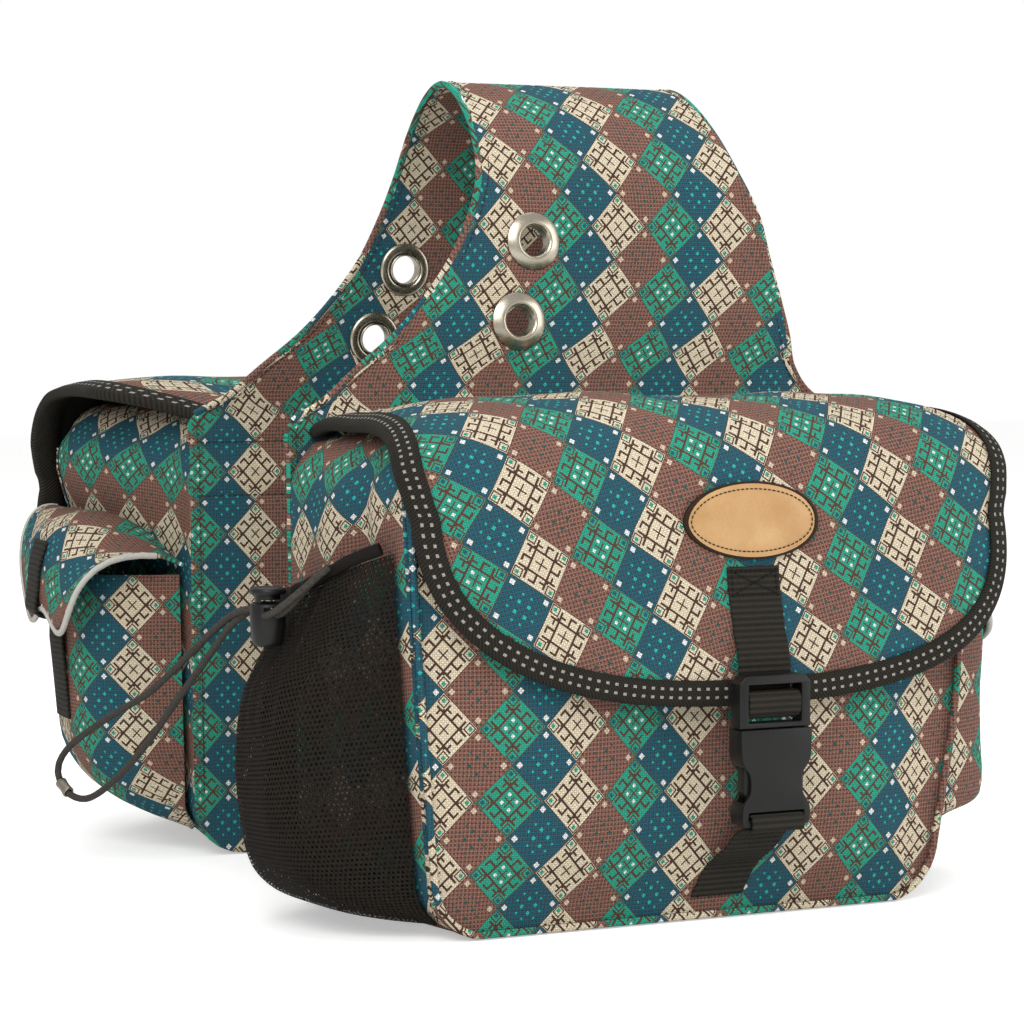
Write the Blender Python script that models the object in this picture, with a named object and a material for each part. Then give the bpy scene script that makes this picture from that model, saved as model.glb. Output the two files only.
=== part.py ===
import bpy
import bmesh
from math import sin, cos, pi, sqrt
from types import SimpleNamespace
from mathutils import Vector

for stale in list(bpy.data.objects):
    bpy.data.objects.remove(stale, do_unlink=True)

# All sizes in metres. The front bag faces -Y, the rear bag is the same bag
# turned half round about the saddle line, which runs along X over the origin.
# In the end everything moves by floor_shift, so that the origin lies on the
# floor under the middle of the whole part.
floor_shift = (0.01606, -0.0080, 0.0)

# Body of each bag
back_plane = 0.066            # middle of the back panel, measured from the saddle line
plain_depth = 0.106

# What differs between the two filled bags: depth of the body, how far its
# shoulder leans out and its foot in beside the flap pocket, the foot, bulge and upright profile of
# that pocket (height share, share of the bulge), how far its small flap reaches
# out, and how far the large flap stands out and up over them
bags = [
    SimpleNamespace(name="front", turn=1, depth=0.106, shoulder=-0.0060, foot_tuck=0.0090, pocket_foot=0.0330, pocket_bulge=0.0195,
                    pocket_profile=[(0.0, 0.0), (0.03, 0.55), (0.07, 1.12), (0.16, 1.20), (0.35, 1.08),
                                    (0.60, 1.0), (0.80, 1.0), (1.0, 0.97)],
                    small_flap_out=0.0262, flap_flare=0.0, flap_lift=0.0),
    SimpleNamespace(name="rear", turn=-1, depth=0.122, shoulder=0.0420, foot_tuck=0.0, pocket_foot=0.0120, pocket_bulge=0.0460,
                    pocket_profile=[(0.0, 0.0), (0.05, 0.35), (0.15, 0.75), (0.30, 0.97), (0.50, 1.0),
                                    (0.75, 1.0), (1.0, 0.97)],
                    small_flap_out=0.0590, flap_flare=0.0360, flap_lift=0.0110),
]
cloth_thick = 0.0024          # printed cloth with its foam and lining
seam_gap = 0.0006             # the space a row of stitches takes
rest_gap = 0.0003             # between pieces that rest on each other
corner_radius = 0.026
back_half_low = 0.1460
back_half_high = 0.1480
front_half_low = 0.1245
front_half_high = 0.1400
widening = 0.8                # how early the body reaches its full width, going up
mouth_back_height = 0.2045
mouth_front_height = 0.2045
mouth_tuck = 0.0100           # how far the mouth leans in at its rim
mouth_tuck_height = 0.0200
side_swell = 0.0050
shoulder_low = 0.0300         # height at which the shoulder starts to lean out
shoulder_rise = 0.1900
foot_rise = 0.1100            # height at which the foot stops leaning in
panel_height = 0.2015
panel_swell = 0.0100
panel_swell_run = 0.0500
face_piping_radius = 0.0016

# Yoke: height, distance from the saddle line, left edge, right edge
hinge_height = 0.2130
neck_stations = [
    (0.2240, 0.0630, -0.1310, 0.1230),
    (0.2380, 0.0605, -0.1140, 0.1125),
    (0.2540, 0.0591, -0.0940, 0.1100),
    (0.2710, 0.0576, -0.0780, 0.1060),
    (0.2900, 0.0560, -0.0640, 0.1010),
    (0.3105, 0.0542, -0.0540, 0.0960),
    (0.3300, 0.0490, -0.0480, 0.0880),
    (0.3510, 0.0360, -0.0460, 0.0815),
    (0.3665, 0.0185, -0.0455, 0.0770),
]
crest_station = (0.3725, 0.0, -0.0455, 0.0755)

# Flap: distance from the saddle line, height, half width
flap_rise = [
    (0.0676, 0.2145, 0.1400),
    (0.0850, 0.2205, 0.1415),
    (0.1100, 0.2245, 0.1435),
    (0.1400, 0.2255, 0.1450),
    (0.1640, 0.2225, 0.1470),
    (0.1810, 0.2140, 0.1490),
    (0.1905, 0.2010, 0.1495),
    (0.1948, 0.1860, 0.1470),
    (0.1956, 0.1740, 0.1445),
]
flap_drop = [(0.1952, 0.1450), (0.1945, 0.1200), (0.1940, 0.0950)]
flap_thick = 0.0020
flap_round_power = 2.5        # squareness of the flap's rounded lower edge
flap_aside = 0.0040           # how far the flap lies to the right of the body
flap_lean = 0.0090            # how much further the lower edge stands to the right
flap_sag = 3.9                # droop of the edges, per metre
flap_flat_half = 0.0900
flap_flare_run = 0.0500
flap_top_run = 0.1000
flap_columns = 14
flap_drop_rows = 4
binding_width = 0.0115
binding_thick = 0.0009
binding_space = 0.0008

# Mesh bottle pocket
mesh_thick = 0.0012
mesh_bulge = 0.0400
mesh_foot_height = 0.0060
mesh_top_back = 0.1360
mesh_top_rise = 0.0270
mesh_depth_span = (0.07, 0.95)
mesh_profile = [(0.0, 0.0), (0.01, 0.36), (0.04, 0.64), (0.10, 0.82), (0.19, 0.95), (0.33, 1.0),
                (0.52, 1.0), (0.70, 0.90), (0.86, 0.58), (1.0, 0.36)]
hem_radius = 0.0028
hem_inset = 0.03
hem_space = 0.0008

# Pocket with the small flap
pocket_top_height = 0.1370
pocket_depth_span = (0.08, 0.96)
pocket_squareness = 5.0       # how square a pocket's two upright edges are
pocket_skew = 0.2             # fuller toward the face of the bag
pocket_space = 0.0015         # room between the body's side and a pocket's edge
wall_space = 0.0023           # room between the body's side and the small flap's seam
small_flap_thick = 0.0018
small_flap_profile = [(0.0000, 0.1600), (0.0130, 0.1650), (0.0300, 0.1650), (0.0430, 0.1605),
                      (0.0520, 0.1515), (0.0565, 0.1400), (0.0580, 0.1280), (0.0578, 0.1180)]
small_flap_columns = 10
small_piping_radius = 0.0015
small_piping_space = 0.0008

# Webbing and buckles
webbing_half = 0.0127
webbing_thick = 0.0013
strap_x = 0.0180
flap_strap_top = 0.1550
strap_slant = 0.38            # how far the lower strap runs aside as it goes down
buckle_half = 0.01735
strap_away = 0.1990           # middle of the strap behind the buckle, from the saddle line
fit_space = 0.0005            # play between the buckle's parts
frame_near = strap_away + webbing_thick / 2 + fit_space
frame_thick = 0.0084
frame_far = frame_near + frame_thick
frame_bottom = 0.0865
frame_height = 0.0225
frame_top = frame_bottom + frame_height
rail_width = 0.0042
low_rail = 0.0022
high_rail = 0.0038
bar_near = frame_near + 0.0034
bar_far = bar_near + 0.0030
bar_low = frame_bottom + 0.0085
bar_high = bar_low + 0.0038
socket_thick = 0.0115
socket_near = frame_near + frame_thick / 2 - socket_thick / 2
socket_far = socket_near + socket_thick
socket_wall = 0.0021
socket_top = frame_bottom - fit_space
socket_height = 0.0415
socket_bottom = socket_top - socket_height
arm_near = socket_near + socket_wall + fit_space
arm_far = socket_far - socket_wall - fit_space
cavity_half = 0.0150
arm_outer = cavity_half - fit_space
arm_tip_height = socket_bottom + 0.0105
guide_tip_height = socket_bottom + 0.0175
cavity_floor = socket_bottom + 0.0075
slot_low = socket_bottom + 0.0030
slot_height = 0.0032
slot_high = slot_low + slot_height
slot_half = webbing_half + 0.0008
side_strap_half = 0.0120
side_strap_low = 0.0640
side_strap_middle = 0.5050      # across the body's depth
strap_space = 0.0006

# Grommets: x and height of each, front half of the yoke then rear half
front_grommets = [(-0.0240, 0.2970), (-0.0330, 0.2600)]
rear_grommets = [(-0.0410, 0.2860), (-0.0560, 0.2520)]
grommet_hole = 0.0069
grommet_flange = 0.0135
grommet_cut = 0.0080
grommet_sides = 20

# Oval patch
patch_center = (0.0075, 0.1745)
patch_half_width = 0.0330
patch_half_height = 0.0165
patch_thick = 0.0018
patch_space = 0.0008

# Cord lock and drawcord
lock_center = (-0.1812, -0.1250)
lock_base_height = 0.1225
barrel_radius = 0.0088
barrel_height = 0.0185
bore_radius = 0.0058
bore_floor = 0.0015
button_stem_radius = 0.0054
button_head_radius = 0.0090
button_head_height = 0.0030
button_travel = 0.0030
stem_low = 0.1325
cord_radius = 0.0016
cord_spacing = 0.0044
cord_height = 0.1372
cord_run = [(-0.1870, -0.1090, 0.1365), (-0.1885, -0.0970, 0.1325), (-0.1905, -0.0800, 0.1245),
            (-0.1930, -0.0580, 0.1130), (-0.1960, -0.0360, 0.1010), (-0.1995, -0.0140, 0.0900),
            (-0.2050, 0.0120, 0.0795), (-0.2105, 0.0345, 0.0690), (-0.2155, 0.0520, 0.0590),
            (-0.2180, 0.0600, 0.0500), (-0.2175, 0.0600, 0.0425), (-0.2150, 0.0520, 0.0368),
            (-0.2110, 0.0375, 0.0365), (-0.2068, 0.0180, 0.0450), (-0.2025, -0.0050, 0.0590),
            (-0.1990, -0.0240, 0.0730), (-0.1960, -0.0420, 0.0875), (-0.1930, -0.0610, 0.1020),
            (-0.1905, -0.0810, 0.1165), (-0.1885, -0.0980, 0.1285), (-0.1835, -0.1090, 0.1360)]
clip_knots = (11, 12)          # the two points of cord_run between which the clip lies
clip_length = 0.0080
clip_thick = 0.0009
spring_radius = 0.0040
spring_wire = 0.0004
spring_turns = 4


def material(name, color, roughness, metallic=0.0):
    made = bpy.data.materials.new(name)
    made.use_nodes = True
    shader = made.node_tree.nodes["Principled BSDF"]
    shader.inputs["Base Color"].default_value = (*color, 1.0)
    shader.inputs["Roughness"].default_value = roughness
    shader.inputs["Metallic"].default_value = metallic
    return made


printed_cloth = material("printed_cloth", (0.16, 0.13, 0.09), 0.85)
black_webbing = material("black_webbing", (0.012, 0.011, 0.010), 0.75)
black_mesh = material("black_mesh", (0.010, 0.010, 0.010), 0.85)
black_plastic = material("black_plastic", (0.020, 0.019, 0.018), 0.40)
grey_piping = material("grey_piping", (0.48, 0.46, 0.42), 0.70)
leatherette = material("leatherette", (0.42, 0.27, 0.13), 0.55)
brass = material("brass", (0.72, 0.62, 0.42), 0.28, 1.0)
steel = material("steel", (0.60, 0.60, 0.60), 0.30, 1.0)
elastic = material("elastic", (0.050, 0.046, 0.040), 0.80)


def add_object(name, mesh, surface):
    made = bpy.data.objects.new(name, mesh)
    bpy.context.scene.collection.objects.link(made)
    mesh.materials.append(surface)
    return made


def turned(point, bag):
    return Vector((point[0] * bag.turn, point[1] * bag.turn, point[2]))


def mesh_from(points, faces, name):
    mesh = bpy.data.meshes.new(name)
    mesh.from_pydata([tuple(p) for p in points], [], faces)
    mesh.update()
    return mesh


def outward(mesh):
    shaped = bmesh.new()
    shaped.from_mesh(mesh)
    bmesh.ops.recalc_face_normals(shaped, faces=shaped.faces)
    shaped.to_mesh(mesh)
    shaped.free()


def cloth_sheet(name, rows, thick, surface, even=True):
    """A sewn panel: a grid of points given its thickness to both sides."""
    across = len(rows[0])
    points = [p for row in rows for p in row]
    faces = [(i * across + j, i * across + j + 1, (i + 1) * across + j + 1, (i + 1) * across + j)
             for i in range(len(rows) - 1) for j in range(across - 1)]
    panel = add_object(name, mesh_from(points, faces, name), surface)
    solid = panel.modifiers.new("thickness", "SOLIDIFY")
    solid.thickness = thick
    solid.offset = 0.0
    solid.use_even_offset = even
    return panel


def cord_along(name, points, radius, surface, closed=False, resolution=2):
    """A round cord, piping or wire along a line of points."""
    path = bpy.data.curves.new(name, "CURVE")
    path.dimensions = "3D"
    path.bevel_depth = radius
    path.bevel_resolution = resolution
    path.use_fill_caps = not closed
    line = path.splines.new("POLY")
    line.points.add(len(points) - 1)
    for knot, place in zip(line.points, points):
        knot.co = (*place, 1.0)
    line.use_cyclic_u = closed
    made = bpy.data.objects.new(name, path)
    bpy.context.scene.collection.objects.link(made)
    path.materials.append(surface)
    return made


def loft(name, sections, surface, closed=False):
    """A solid through a list of equal closed sections, capped unless closed."""
    around = len(sections[0])
    points = [p for section in sections for p in section]
    faces = []
    count = len(sections)
    for i in range(count if closed else count - 1):
        k = (i + 1) % count
        for j in range(around):
            m = (j + 1) % around
            faces.append((i * around + j, i * around + m, k * around + m, k * around + j))
    if not closed:
        faces.append(tuple(range(around)))
        faces.append(tuple((count - 1) * around + j for j in reversed(range(around))))
    mesh = mesh_from(points, faces, name)
    outward(mesh)
    return add_object(name, mesh, surface)


def block_plate(name, x_cuts, z_cuts, filled, near, far, surface):
    """A moulding made of filled cells between the cuts, as thick as near to far in Y."""
    shaped = bmesh.new()
    known = {}

    def corner(i, j, y):
        key = (i, j, y)
        if key not in known:
            known[key] = shaped.verts.new((x_cuts[i], y, z_cuts[j]))
        return known[key]

    def solid(i, j):
        return 0 <= i < len(x_cuts) - 1 and 0 <= j < len(z_cuts) - 1 and filled(i, j)

    for i in range(len(x_cuts) - 1):
        for j in range(len(z_cuts) - 1):
            if not solid(i, j):
                continue
            for y in (near, far):
                shaped.faces.new([corner(i, j, y), corner(i + 1, j, y),
                                  corner(i + 1, j + 1, y), corner(i, j + 1, y)])
            sides = [((i, j), (i + 1, j), (i, j - 1)), ((i + 1, j), (i + 1, j + 1), (i + 1, j)),
                     ((i + 1, j + 1), (i, j + 1), (i, j + 1)), ((i, j + 1), (i, j), (i - 1, j))]
            for first, second, beyond in sides:
                if not solid(*beyond):
                    shaped.faces.new([corner(*first, near), corner(*second, near),
                                      corner(*second, far), corner(*first, far)])
    bmesh.ops.recalc_face_normals(shaped, faces=shaped.faces)
    mesh = bpy.data.meshes.new(name)
    shaped.to_mesh(mesh)
    shaped.free()
    return add_object(name, mesh, surface)


def prism(name, outline, near, far, surface):
    """A moulding with an outline in X and Z, as thick as near to far in Y."""
    return loft(name, [[(x, y, z) for x, z in outline] for y in (near, far)], surface)


def ring_profile(name, profile, center, axis, side, surface, sides=grommet_sides):
    """A turned ring: (radius, distance along the axis) pairs swept about the axis."""
    up = axis.cross(side).normalized()
    sections = [[center + axis * along + (side * cos(2 * pi * k / sides) + up * sin(2 * pi * k / sides)) * radius
                 for radius, along in profile] for k in range(sides)]
    return loft(name, sections, surface, closed=True)


def hide_tool(tool):
    tool.hide_render = True
    tool.display_type = "WIRE"


def cut(body, tool, kind="DIFFERENCE"):
    step = body.modifiers.new(tool.name, "BOOLEAN")
    step.operation = kind
    step.solver = "EXACT"
    step.object = tool
    hide_tool(tool)


def ribbon(name, path, half, surface, bag, thick=webbing_thick, shift=lambda z: strap_x):
    """Flat webbing: a line of (distance, height) pairs made thick, then wide in X."""
    sides = [[], []]
    for i, (y, z) in enumerate(path):
        before = Vector(path[max(i - 1, 0)])
        after = Vector(path[min(i + 1, len(path) - 1)])
        along = (after - before).normalized()
        here = Vector((y, z))
        first = (here - before).normalized() if i else along
        spread = thick / 2 / max(0.72, abs(first.dot(along)))
        normal = Vector((-along.y, along.x))
        sides[0].append(here + normal * spread)
        sides[1].append(here - normal * spread)
    ring = sides[0] + sides[1][::-1]
    count = len(path)
    points = [turned((shift(p.y) + edge * half, -p.x - bag.depth + plain_depth, p.y), bag) for edge in (-1, 1) for p in ring]
    total = 2 * count
    faces = [(k, (k + 1) % total, total + (k + 1) % total, total + k) for k in range(total)]
    for i in range(count - 1):
        quad = (i, i + 1, total - 2 - i, total - 1 - i)
        faces.append(quad)
        faces.append(tuple(total + k for k in reversed(quad)))
    mesh = mesh_from(points, faces, name)
    outward(mesh)
    return add_object(name, mesh, surface)


def smooth(share):
    share = min(max(share, 0.0), 1.0)
    return share * share * (3 - 2 * share)


def half_width(t, z):
    """Half width of the body: t runs from the back panel (0) to the front (1)."""
    low = back_half_low + (front_half_low - back_half_low) * t
    high = back_half_high + (front_half_high - back_half_high) * t
    share = max(z, corner_radius) / mouth_back_height
    width = low + (high - low) * share ** widening
    if z < corner_radius:
        dip = corner_radius - max(z, cloth_thick / 2)
        reach = corner_radius - cloth_thick / 2
        width += sqrt(max(reach ** 2 - dip ** 2, 0.0)) - reach
    rim = mouth_back_height + (mouth_front_height - mouth_back_height) * t
    over = max(0.0, z - (rim - mouth_tuck_height)) / mouth_tuck_height
    return width - mouth_tuck * over ** 2


def swell(t, z):
    return side_swell * sin(pi * t) ** 2 * sin(pi * min(z / mouth_back_height, 1.0))


def lean_out(bag, t, z):
    """How far the bag's right side leans out at the top and in at the foot."""
    top = bag.shoulder * smooth((z - shoulder_low) / shoulder_rise)
    return smooth(t) * (top - bag.foot_tuck * (1 - smooth(z / foot_rise)))


def depth_at(bag, t):
    inner = back_plane + cloth_thick / 2 + seam_gap
    return inner + (back_plane + bag.depth - inner) * t


def corner_heights(steps):
    """Heights that divide the rounded bottom corner evenly, bottom first."""
    reach = corner_radius - cloth_thick / 2
    return [corner_radius - reach * cos(pi / 2 * k / steps) for k in range(steps + 1)]


def gusset(name, bag):
    rows = []
    for i in range(5):
        t = i / 4
        rim = mouth_back_height + (mouth_front_height - mouth_back_height) * t
        heights = corner_heights(4) + [0.055, 0.090, 0.130, rim - 0.030, rim - 0.013, rim]
        right = [(half_width(t, z) + swell(t, z), z) for z in heights]
        floor = [(right[0][0] * share, cloth_thick / 2) for share in (-0.5, 0.0, 0.5)]
        loop = [(-x, z) for x, z in reversed(right)] + floor + [(x + lean_out(bag, t, z), z) for x, z in right]
        rows.append([turned((x, -depth_at(bag, t), z), bag) for x, z in loop])
    return cloth_sheet(name, rows, cloth_thick, printed_cloth)


def face_panel(name, bag):
    heights = [z - cloth_thick / 2 + 0.0001 for z in corner_heights(4)]
    heights += [0.055, 0.085, 0.115, 0.150, panel_height]
    columns = 12
    rows = []
    for z in heights:
        width = half_width(1.0, z + cloth_thick / 2) + cloth_thick / 2
        out = lean_out(bag, 1.0, z + cloth_thick / 2)
        row = []
        for k in range(columns + 1):
            share = sin(pi / 2 * (2 * k / columns - 1))
            x = width * share + out * (1 + share) / 2
            inset = min((width + out / 2) * (1 - abs(share)), z)
            lift = panel_swell * smooth(inset / panel_swell_run)
            row.append(turned((x, -(back_plane + bag.depth + seam_gap + cloth_thick / 2 + lift), z), bag))
        rows.append(row)
    return cloth_sheet(name, rows, cloth_thick, printed_cloth)


def face_piping(name, bag):
    away = back_plane + bag.depth + seam_gap + cloth_thick + 0.0005 + face_piping_radius
    heights = [z + face_piping_radius - cloth_thick / 2 + 0.0002 for z in corner_heights(5)]
    heights += [0.055, 0.095, 0.140, panel_height - 0.006]
    right = [(half_width(1.0, z) + cloth_thick / 2 - face_piping_radius, z) for z in heights]
    loop = [(-x, z) for x, z in reversed(right)] + [(0.0, heights[0])]
    loop += [(x + lean_out(bag, 1.0, z), z) for x, z in right]
    return cord_along(name, [turned((x, -away, z), bag) for x, z in loop],
                      face_piping_radius, grey_piping, resolution=1)


def yoke_half():
    """Stations of one half of the yoke, bottom of the back panel first."""
    stations = []
    for z in corner_heights(4) + [0.075, 0.120, 0.165, 0.195]:
        width = half_width(0.0, min(z, mouth_back_height - mouth_tuck_height)) + cloth_thick / 2
        low = z - cloth_thick / 2 + 0.0002 if z < corner_radius else z
        stations.append((low, back_plane, -width, width))
    top = stations[-1][3]
    stations.append((hinge_height, back_plane, -top, top))
    return stations + neck_stations


def yoke():
    half = yoke_half()
    stations = [(z, -y, left, right) for z, y, left, right in half]
    stations += [(crest_station[0], 0.0, crest_station[2], crest_station[3])]
    stations += [(z, y, left, right) for z, y, left, right in reversed(half)]
    columns = 10
    rows = [[Vector((left + (right - left) * k / columns, y, z)) for k in range(columns + 1)]
            for z, y, left, right in stations]
    return cloth_sheet("yoke", rows, cloth_thick, printed_cloth)


def yoke_frame(x, z, side):
    """Point on the middle of the yoke and its outward direction, side -1 front, 1 rear."""
    half = yoke_half() + [crest_station]
    for low, high in zip(half, half[1:]):
        if low[0] <= z <= high[0]:
            share = (z - low[0]) / (high[0] - low[0])
            y = low[1] + (high[1] - low[1]) * share
            normal = Vector((0, side * (high[0] - low[0]), low[1] - high[1])).normalized()
            return Vector((x, side * y, z)), normal


flap_line = [(y, z) for y, z, _ in flap_rise] + flap_drop
flap_run = [0.0]
for (y0, z0), (y1, z1) in zip(flap_line, flap_line[1:]):
    flap_run.append(flap_run[-1] + sqrt((y1 - y0) ** 2 + (z1 - z0) ** 2))
flap_straight = flap_run[len(flap_rise) - 1]
flap_end = flap_run[-1]


def flap_half(run):
    """Half width of the flap at a distance along it, straight part only."""
    last = len(flap_rise) - 1
    for k in range(last):
        if run <= flap_run[k + 1] + 1e-9:
            share = (run - flap_run[k]) / (flap_run[k + 1] - flap_run[k])
            return flap_rise[k][2] + (flap_rise[k + 1][2] - flap_rise[k][2]) * share
    return flap_rise[last][2]


def flap_point(bag, x, run):
    """Middle of the flap cloth at x across and run along from the hinge."""
    run = min(max(run, 0.0), flap_end)
    for k in range(len(flap_line) - 1):
        if run <= flap_run[k + 1] + 1e-9:
            break
    share = (run - flap_run[k]) / (flap_run[k + 1] - flap_run[k])
    here = Vector(flap_line[k]).lerp(Vector(flap_line[k + 1]), share)

    def facing(index):
        before = Vector(flap_line[max(index - 1, 0)])
        after = Vector(flap_line[min(index + 1, len(flap_line) - 1)])
        along = (after - before).normalized()
        return Vector((-along.y, along.x))

    normal = facing(k).lerp(facing(k + 1), share).normalized()
    droop = flap_sag * (0.5 + 0.5 * smooth(run / flap_flare_run))
    here -= normal * droop * max(abs(x) - flap_flat_half, 0.0) ** 2
    lean = max(run - flap_straight, 0.0) / (flap_end - flap_straight)
    over = max(x, 0.0) / flap_rise[-1][2]
    wide = x + flap_aside * smooth(run / flap_flare_run) + flap_lean * sin(pi / 2 * lean)
    wide += bag.flap_flare * over * smooth(run / flap_flare_run)
    lifted = bag.flap_lift * over * smooth(run / flap_flare_run) * (1 - smooth((run - flap_top_run) / flap_flare_run))
    ahead = (bag.depth - plain_depth) * smooth(run / flap_top_run)
    return Vector((wide, -here.x - ahead, here.y + lifted))


def flap_normal(bag, x, run):
    step = 0.0015
    across = flap_point(bag, x + step, run) - flap_point(bag, x - step, run)
    along = flap_point(bag, x, min(run + step, flap_end)) - flap_point(bag, x, max(run - step, 0.0))
    return along.cross(across).normalized()


def flap_reach(share, inset=0.0):
    """Run of the lower edge at a share of the half width."""
    drop = (flap_end - inset) - flap_straight
    return flap_straight + drop * max(1 - abs(share) ** flap_round_power, 0.0) ** (1 / flap_round_power)


def flap_side(point, run, away, bag):
    """A point off the flap cloth, away along its outward direction."""
    return turned(flap_point(bag, point, run) + flap_normal(bag, point, run) * away, bag)


def flap_columns_at():
    return [sin(pi / 2 * (2 * k / flap_columns - 1)) for k in range(flap_columns + 1)]


def flap(name, bag):
    inset = binding_thick + binding_space
    rows = []
    last = len(flap_rise) - 1
    for k in range(last + 1):
        half = flap_rise[k][2] - inset
        rows.append([turned(flap_point(bag, half * share, flap_run[k]), bag) for share in flap_columns_at()])
    half = flap_rise[last][2] - inset
    for k in range(1, flap_drop_rows + 1):
        row = []
        for share in flap_columns_at():
            reach = max(flap_reach(share, inset), flap_straight + 0.0012)
            row.append(turned(flap_point(bag, half * share, flap_straight + (reach - flap_straight) * k / flap_drop_rows),
                              bag))
        rows.append(row)
    return cloth_sheet(name, rows, flap_thick, printed_cloth, even=False)


def flap_binding(name, bag):
    last = len(flap_rise) - 1
    half = flap_rise[last][2]
    edge = [(-flap_rise[k][2], flap_run[k]) for k in range(last)]
    edge += [(half * share, flap_reach(share)) for share in
             [sin(pi / 2 * (2 * k / 20 - 1)) for k in range(21)]]
    edge += [(flap_rise[k][2], flap_run[k]) for k in reversed(range(last))]
    inner = flap_thick / 2 + binding_space
    outer = inner + binding_thick
    sections = []
    for i, (x, run) in enumerate(edge):
        before = Vector(edge[max(i - 1, 0)])
        after = Vector(edge[min(i + 1, len(edge) - 1)])
        along = (after - before).normalized()
        if i == 0 or i == len(edge) - 1:
            inward = Vector((1.0 if i == 0 else -1.0, 0.0))
        elif i < last or i >= len(edge) - last:
            inward = Vector((-1.0 if x > 0 else 1.0, 0.0))
        else:
            inward = Vector((along.y, -along.x))
            if inward.dot(Vector((0.0, flap_straight * 0.8)) - Vector((x, run))) < 0:
                inward = -inward
        section = []
        for depth, away in [(binding_width, outer), (0.0, outer), (0.0, -outer), (binding_width, -outer),
                            (binding_width, -inner), (binding_thick, -inner),
                            (binding_thick, inner), (binding_width, inner)]:
            spot = Vector((x, run)) + inward * depth
            section.append(flap_side(spot.x, spot.y, away, bag))
        sections.append(section)
    return loft(name, sections, black_webbing)


def side_wall(bag, side, t, z, out):
    """A point at a distance out from the side of the body, t across its depth."""
    x = half_width(t, z) + swell(t, z) + cloth_thick / 2 + out
    if side > 0:
        x += lean_out(bag, t, z)
    return Vector((side * x, -depth_at(bag, t), z))


def pocket_wall(bag, side, a, z, share, bulge, span, thick):
    full = (1 - abs(2 * a - 1) ** pocket_squareness) * (1 + pocket_skew * (a - 0.5))
    t = span[0] + (span[1] - span[0]) * a
    if side > 0:
        bulge -= lean_out(bag, t, z)
    return side_wall(bag, side, t, z, pocket_space + thick / 2 + bulge * full * share)


def pocket_columns(count):
    return [0.5 - 0.5 * cos(pi * k / count) for k in range(count + 1)]


def mesh_top(a):
    return mesh_top_back + mesh_top_rise * a * a


def mesh_pocket(name, bag):
    rows = [[turned(pocket_wall(bag, -1, a, mesh_foot_height + (mesh_top(a) - mesh_foot_height) * b,
                                share, mesh_bulge, mesh_depth_span, mesh_thick), bag)
             for a in pocket_columns(8)] for b, share in mesh_profile]
    return cloth_sheet(name, rows, mesh_thick, black_mesh, even=False)


def hem_spot(bag, a):
    """Middle of the hem above the rim of the mesh pocket, before the bag is turned."""
    rim = pocket_wall(bag, -1, a, mesh_top(a), mesh_profile[-1][1], mesh_bulge, mesh_depth_span, mesh_thick)
    return rim + Vector((0.0, 0.0, hem_radius + hem_space))


def mesh_hem(name, bag):
    return cord_along(name, [turned(hem_spot(bag, hem_inset + (1 - 2 * hem_inset) * a), bag)
                             for a in pocket_columns(8)], hem_radius, black_mesh)


def pocket_share(bag, z):
    """Share of the flap pocket's bulge that its profile has at a height."""
    b = (z - bag.pocket_foot) / (pocket_top_height - bag.pocket_foot)
    for (b0, share0), (b1, share1) in zip(bag.pocket_profile, bag.pocket_profile[1:]):
        if b <= b1:
            return share0 + (share1 - share0) * (b - b0) / (b1 - b0)
    return bag.pocket_profile[-1][1]


def side_pocket(name, bag):
    rows = [[turned(pocket_wall(bag, 1, a, bag.pocket_foot + (pocket_top_height - bag.pocket_foot) * b,
                                share, bag.pocket_bulge, pocket_depth_span, cloth_thick), bag)
             for a in pocket_columns(10)] for b, share in bag.pocket_profile]
    return cloth_sheet(name, rows, cloth_thick, printed_cloth, even=False)


small_run = [0.0]
for (y0, z0), (y1, z1) in zip(small_flap_profile, small_flap_profile[1:]):
    small_run.append(small_run[-1] + sqrt((y1 - y0) ** 2 + (z1 - z0) ** 2))


def small_flap_point(a, run, away, bag):
    """A point of the small flap: a across, run along from its seam, away above its middle."""
    widest = max(out for out, _ in small_flap_profile)
    scale = (bag.small_flap_out - lean_out(bag, 0.03 + 0.95 * a, small_flap_profile[0][1])) / widest
    line = [Vector((out * scale, z)) for out, z in small_flap_profile]
    run = max(run, 0.0)
    for k in range(len(small_run) - 1):
        if run <= small_run[k + 1] + 1e-9:
            break
    share = (run - small_run[k]) / (small_run[k + 1] - small_run[k])

    def facing(index):
        along = (line[min(index + 1, len(line) - 1)] - line[max(index - 1, 0)]).normalized()
        return Vector((-along.y, along.x))

    here = line[k].lerp(line[k + 1], share) + facing(k).lerp(facing(k + 1), share).normalized() * away
    wall = side_wall(bag, 1, 0.03 + 0.95 * a, line[0].y, wall_space)
    return turned((wall.x + here.x, wall.y, here.y), bag)


def small_flap_reach(a):
    return small_run[-1] * (0.50 + 0.50 * max(1 - abs(2 * a - 1) ** 2.6, 0.0) ** (1 / 2.6))


def small_flap(name, bag):
    rows = [[small_flap_point(a, small_flap_reach(a) * k / 8, 0.0, bag)
             for a in pocket_columns(small_flap_columns)] for k in range(9)]
    return cloth_sheet(name, rows, small_flap_thick, printed_cloth, even=False)


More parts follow.
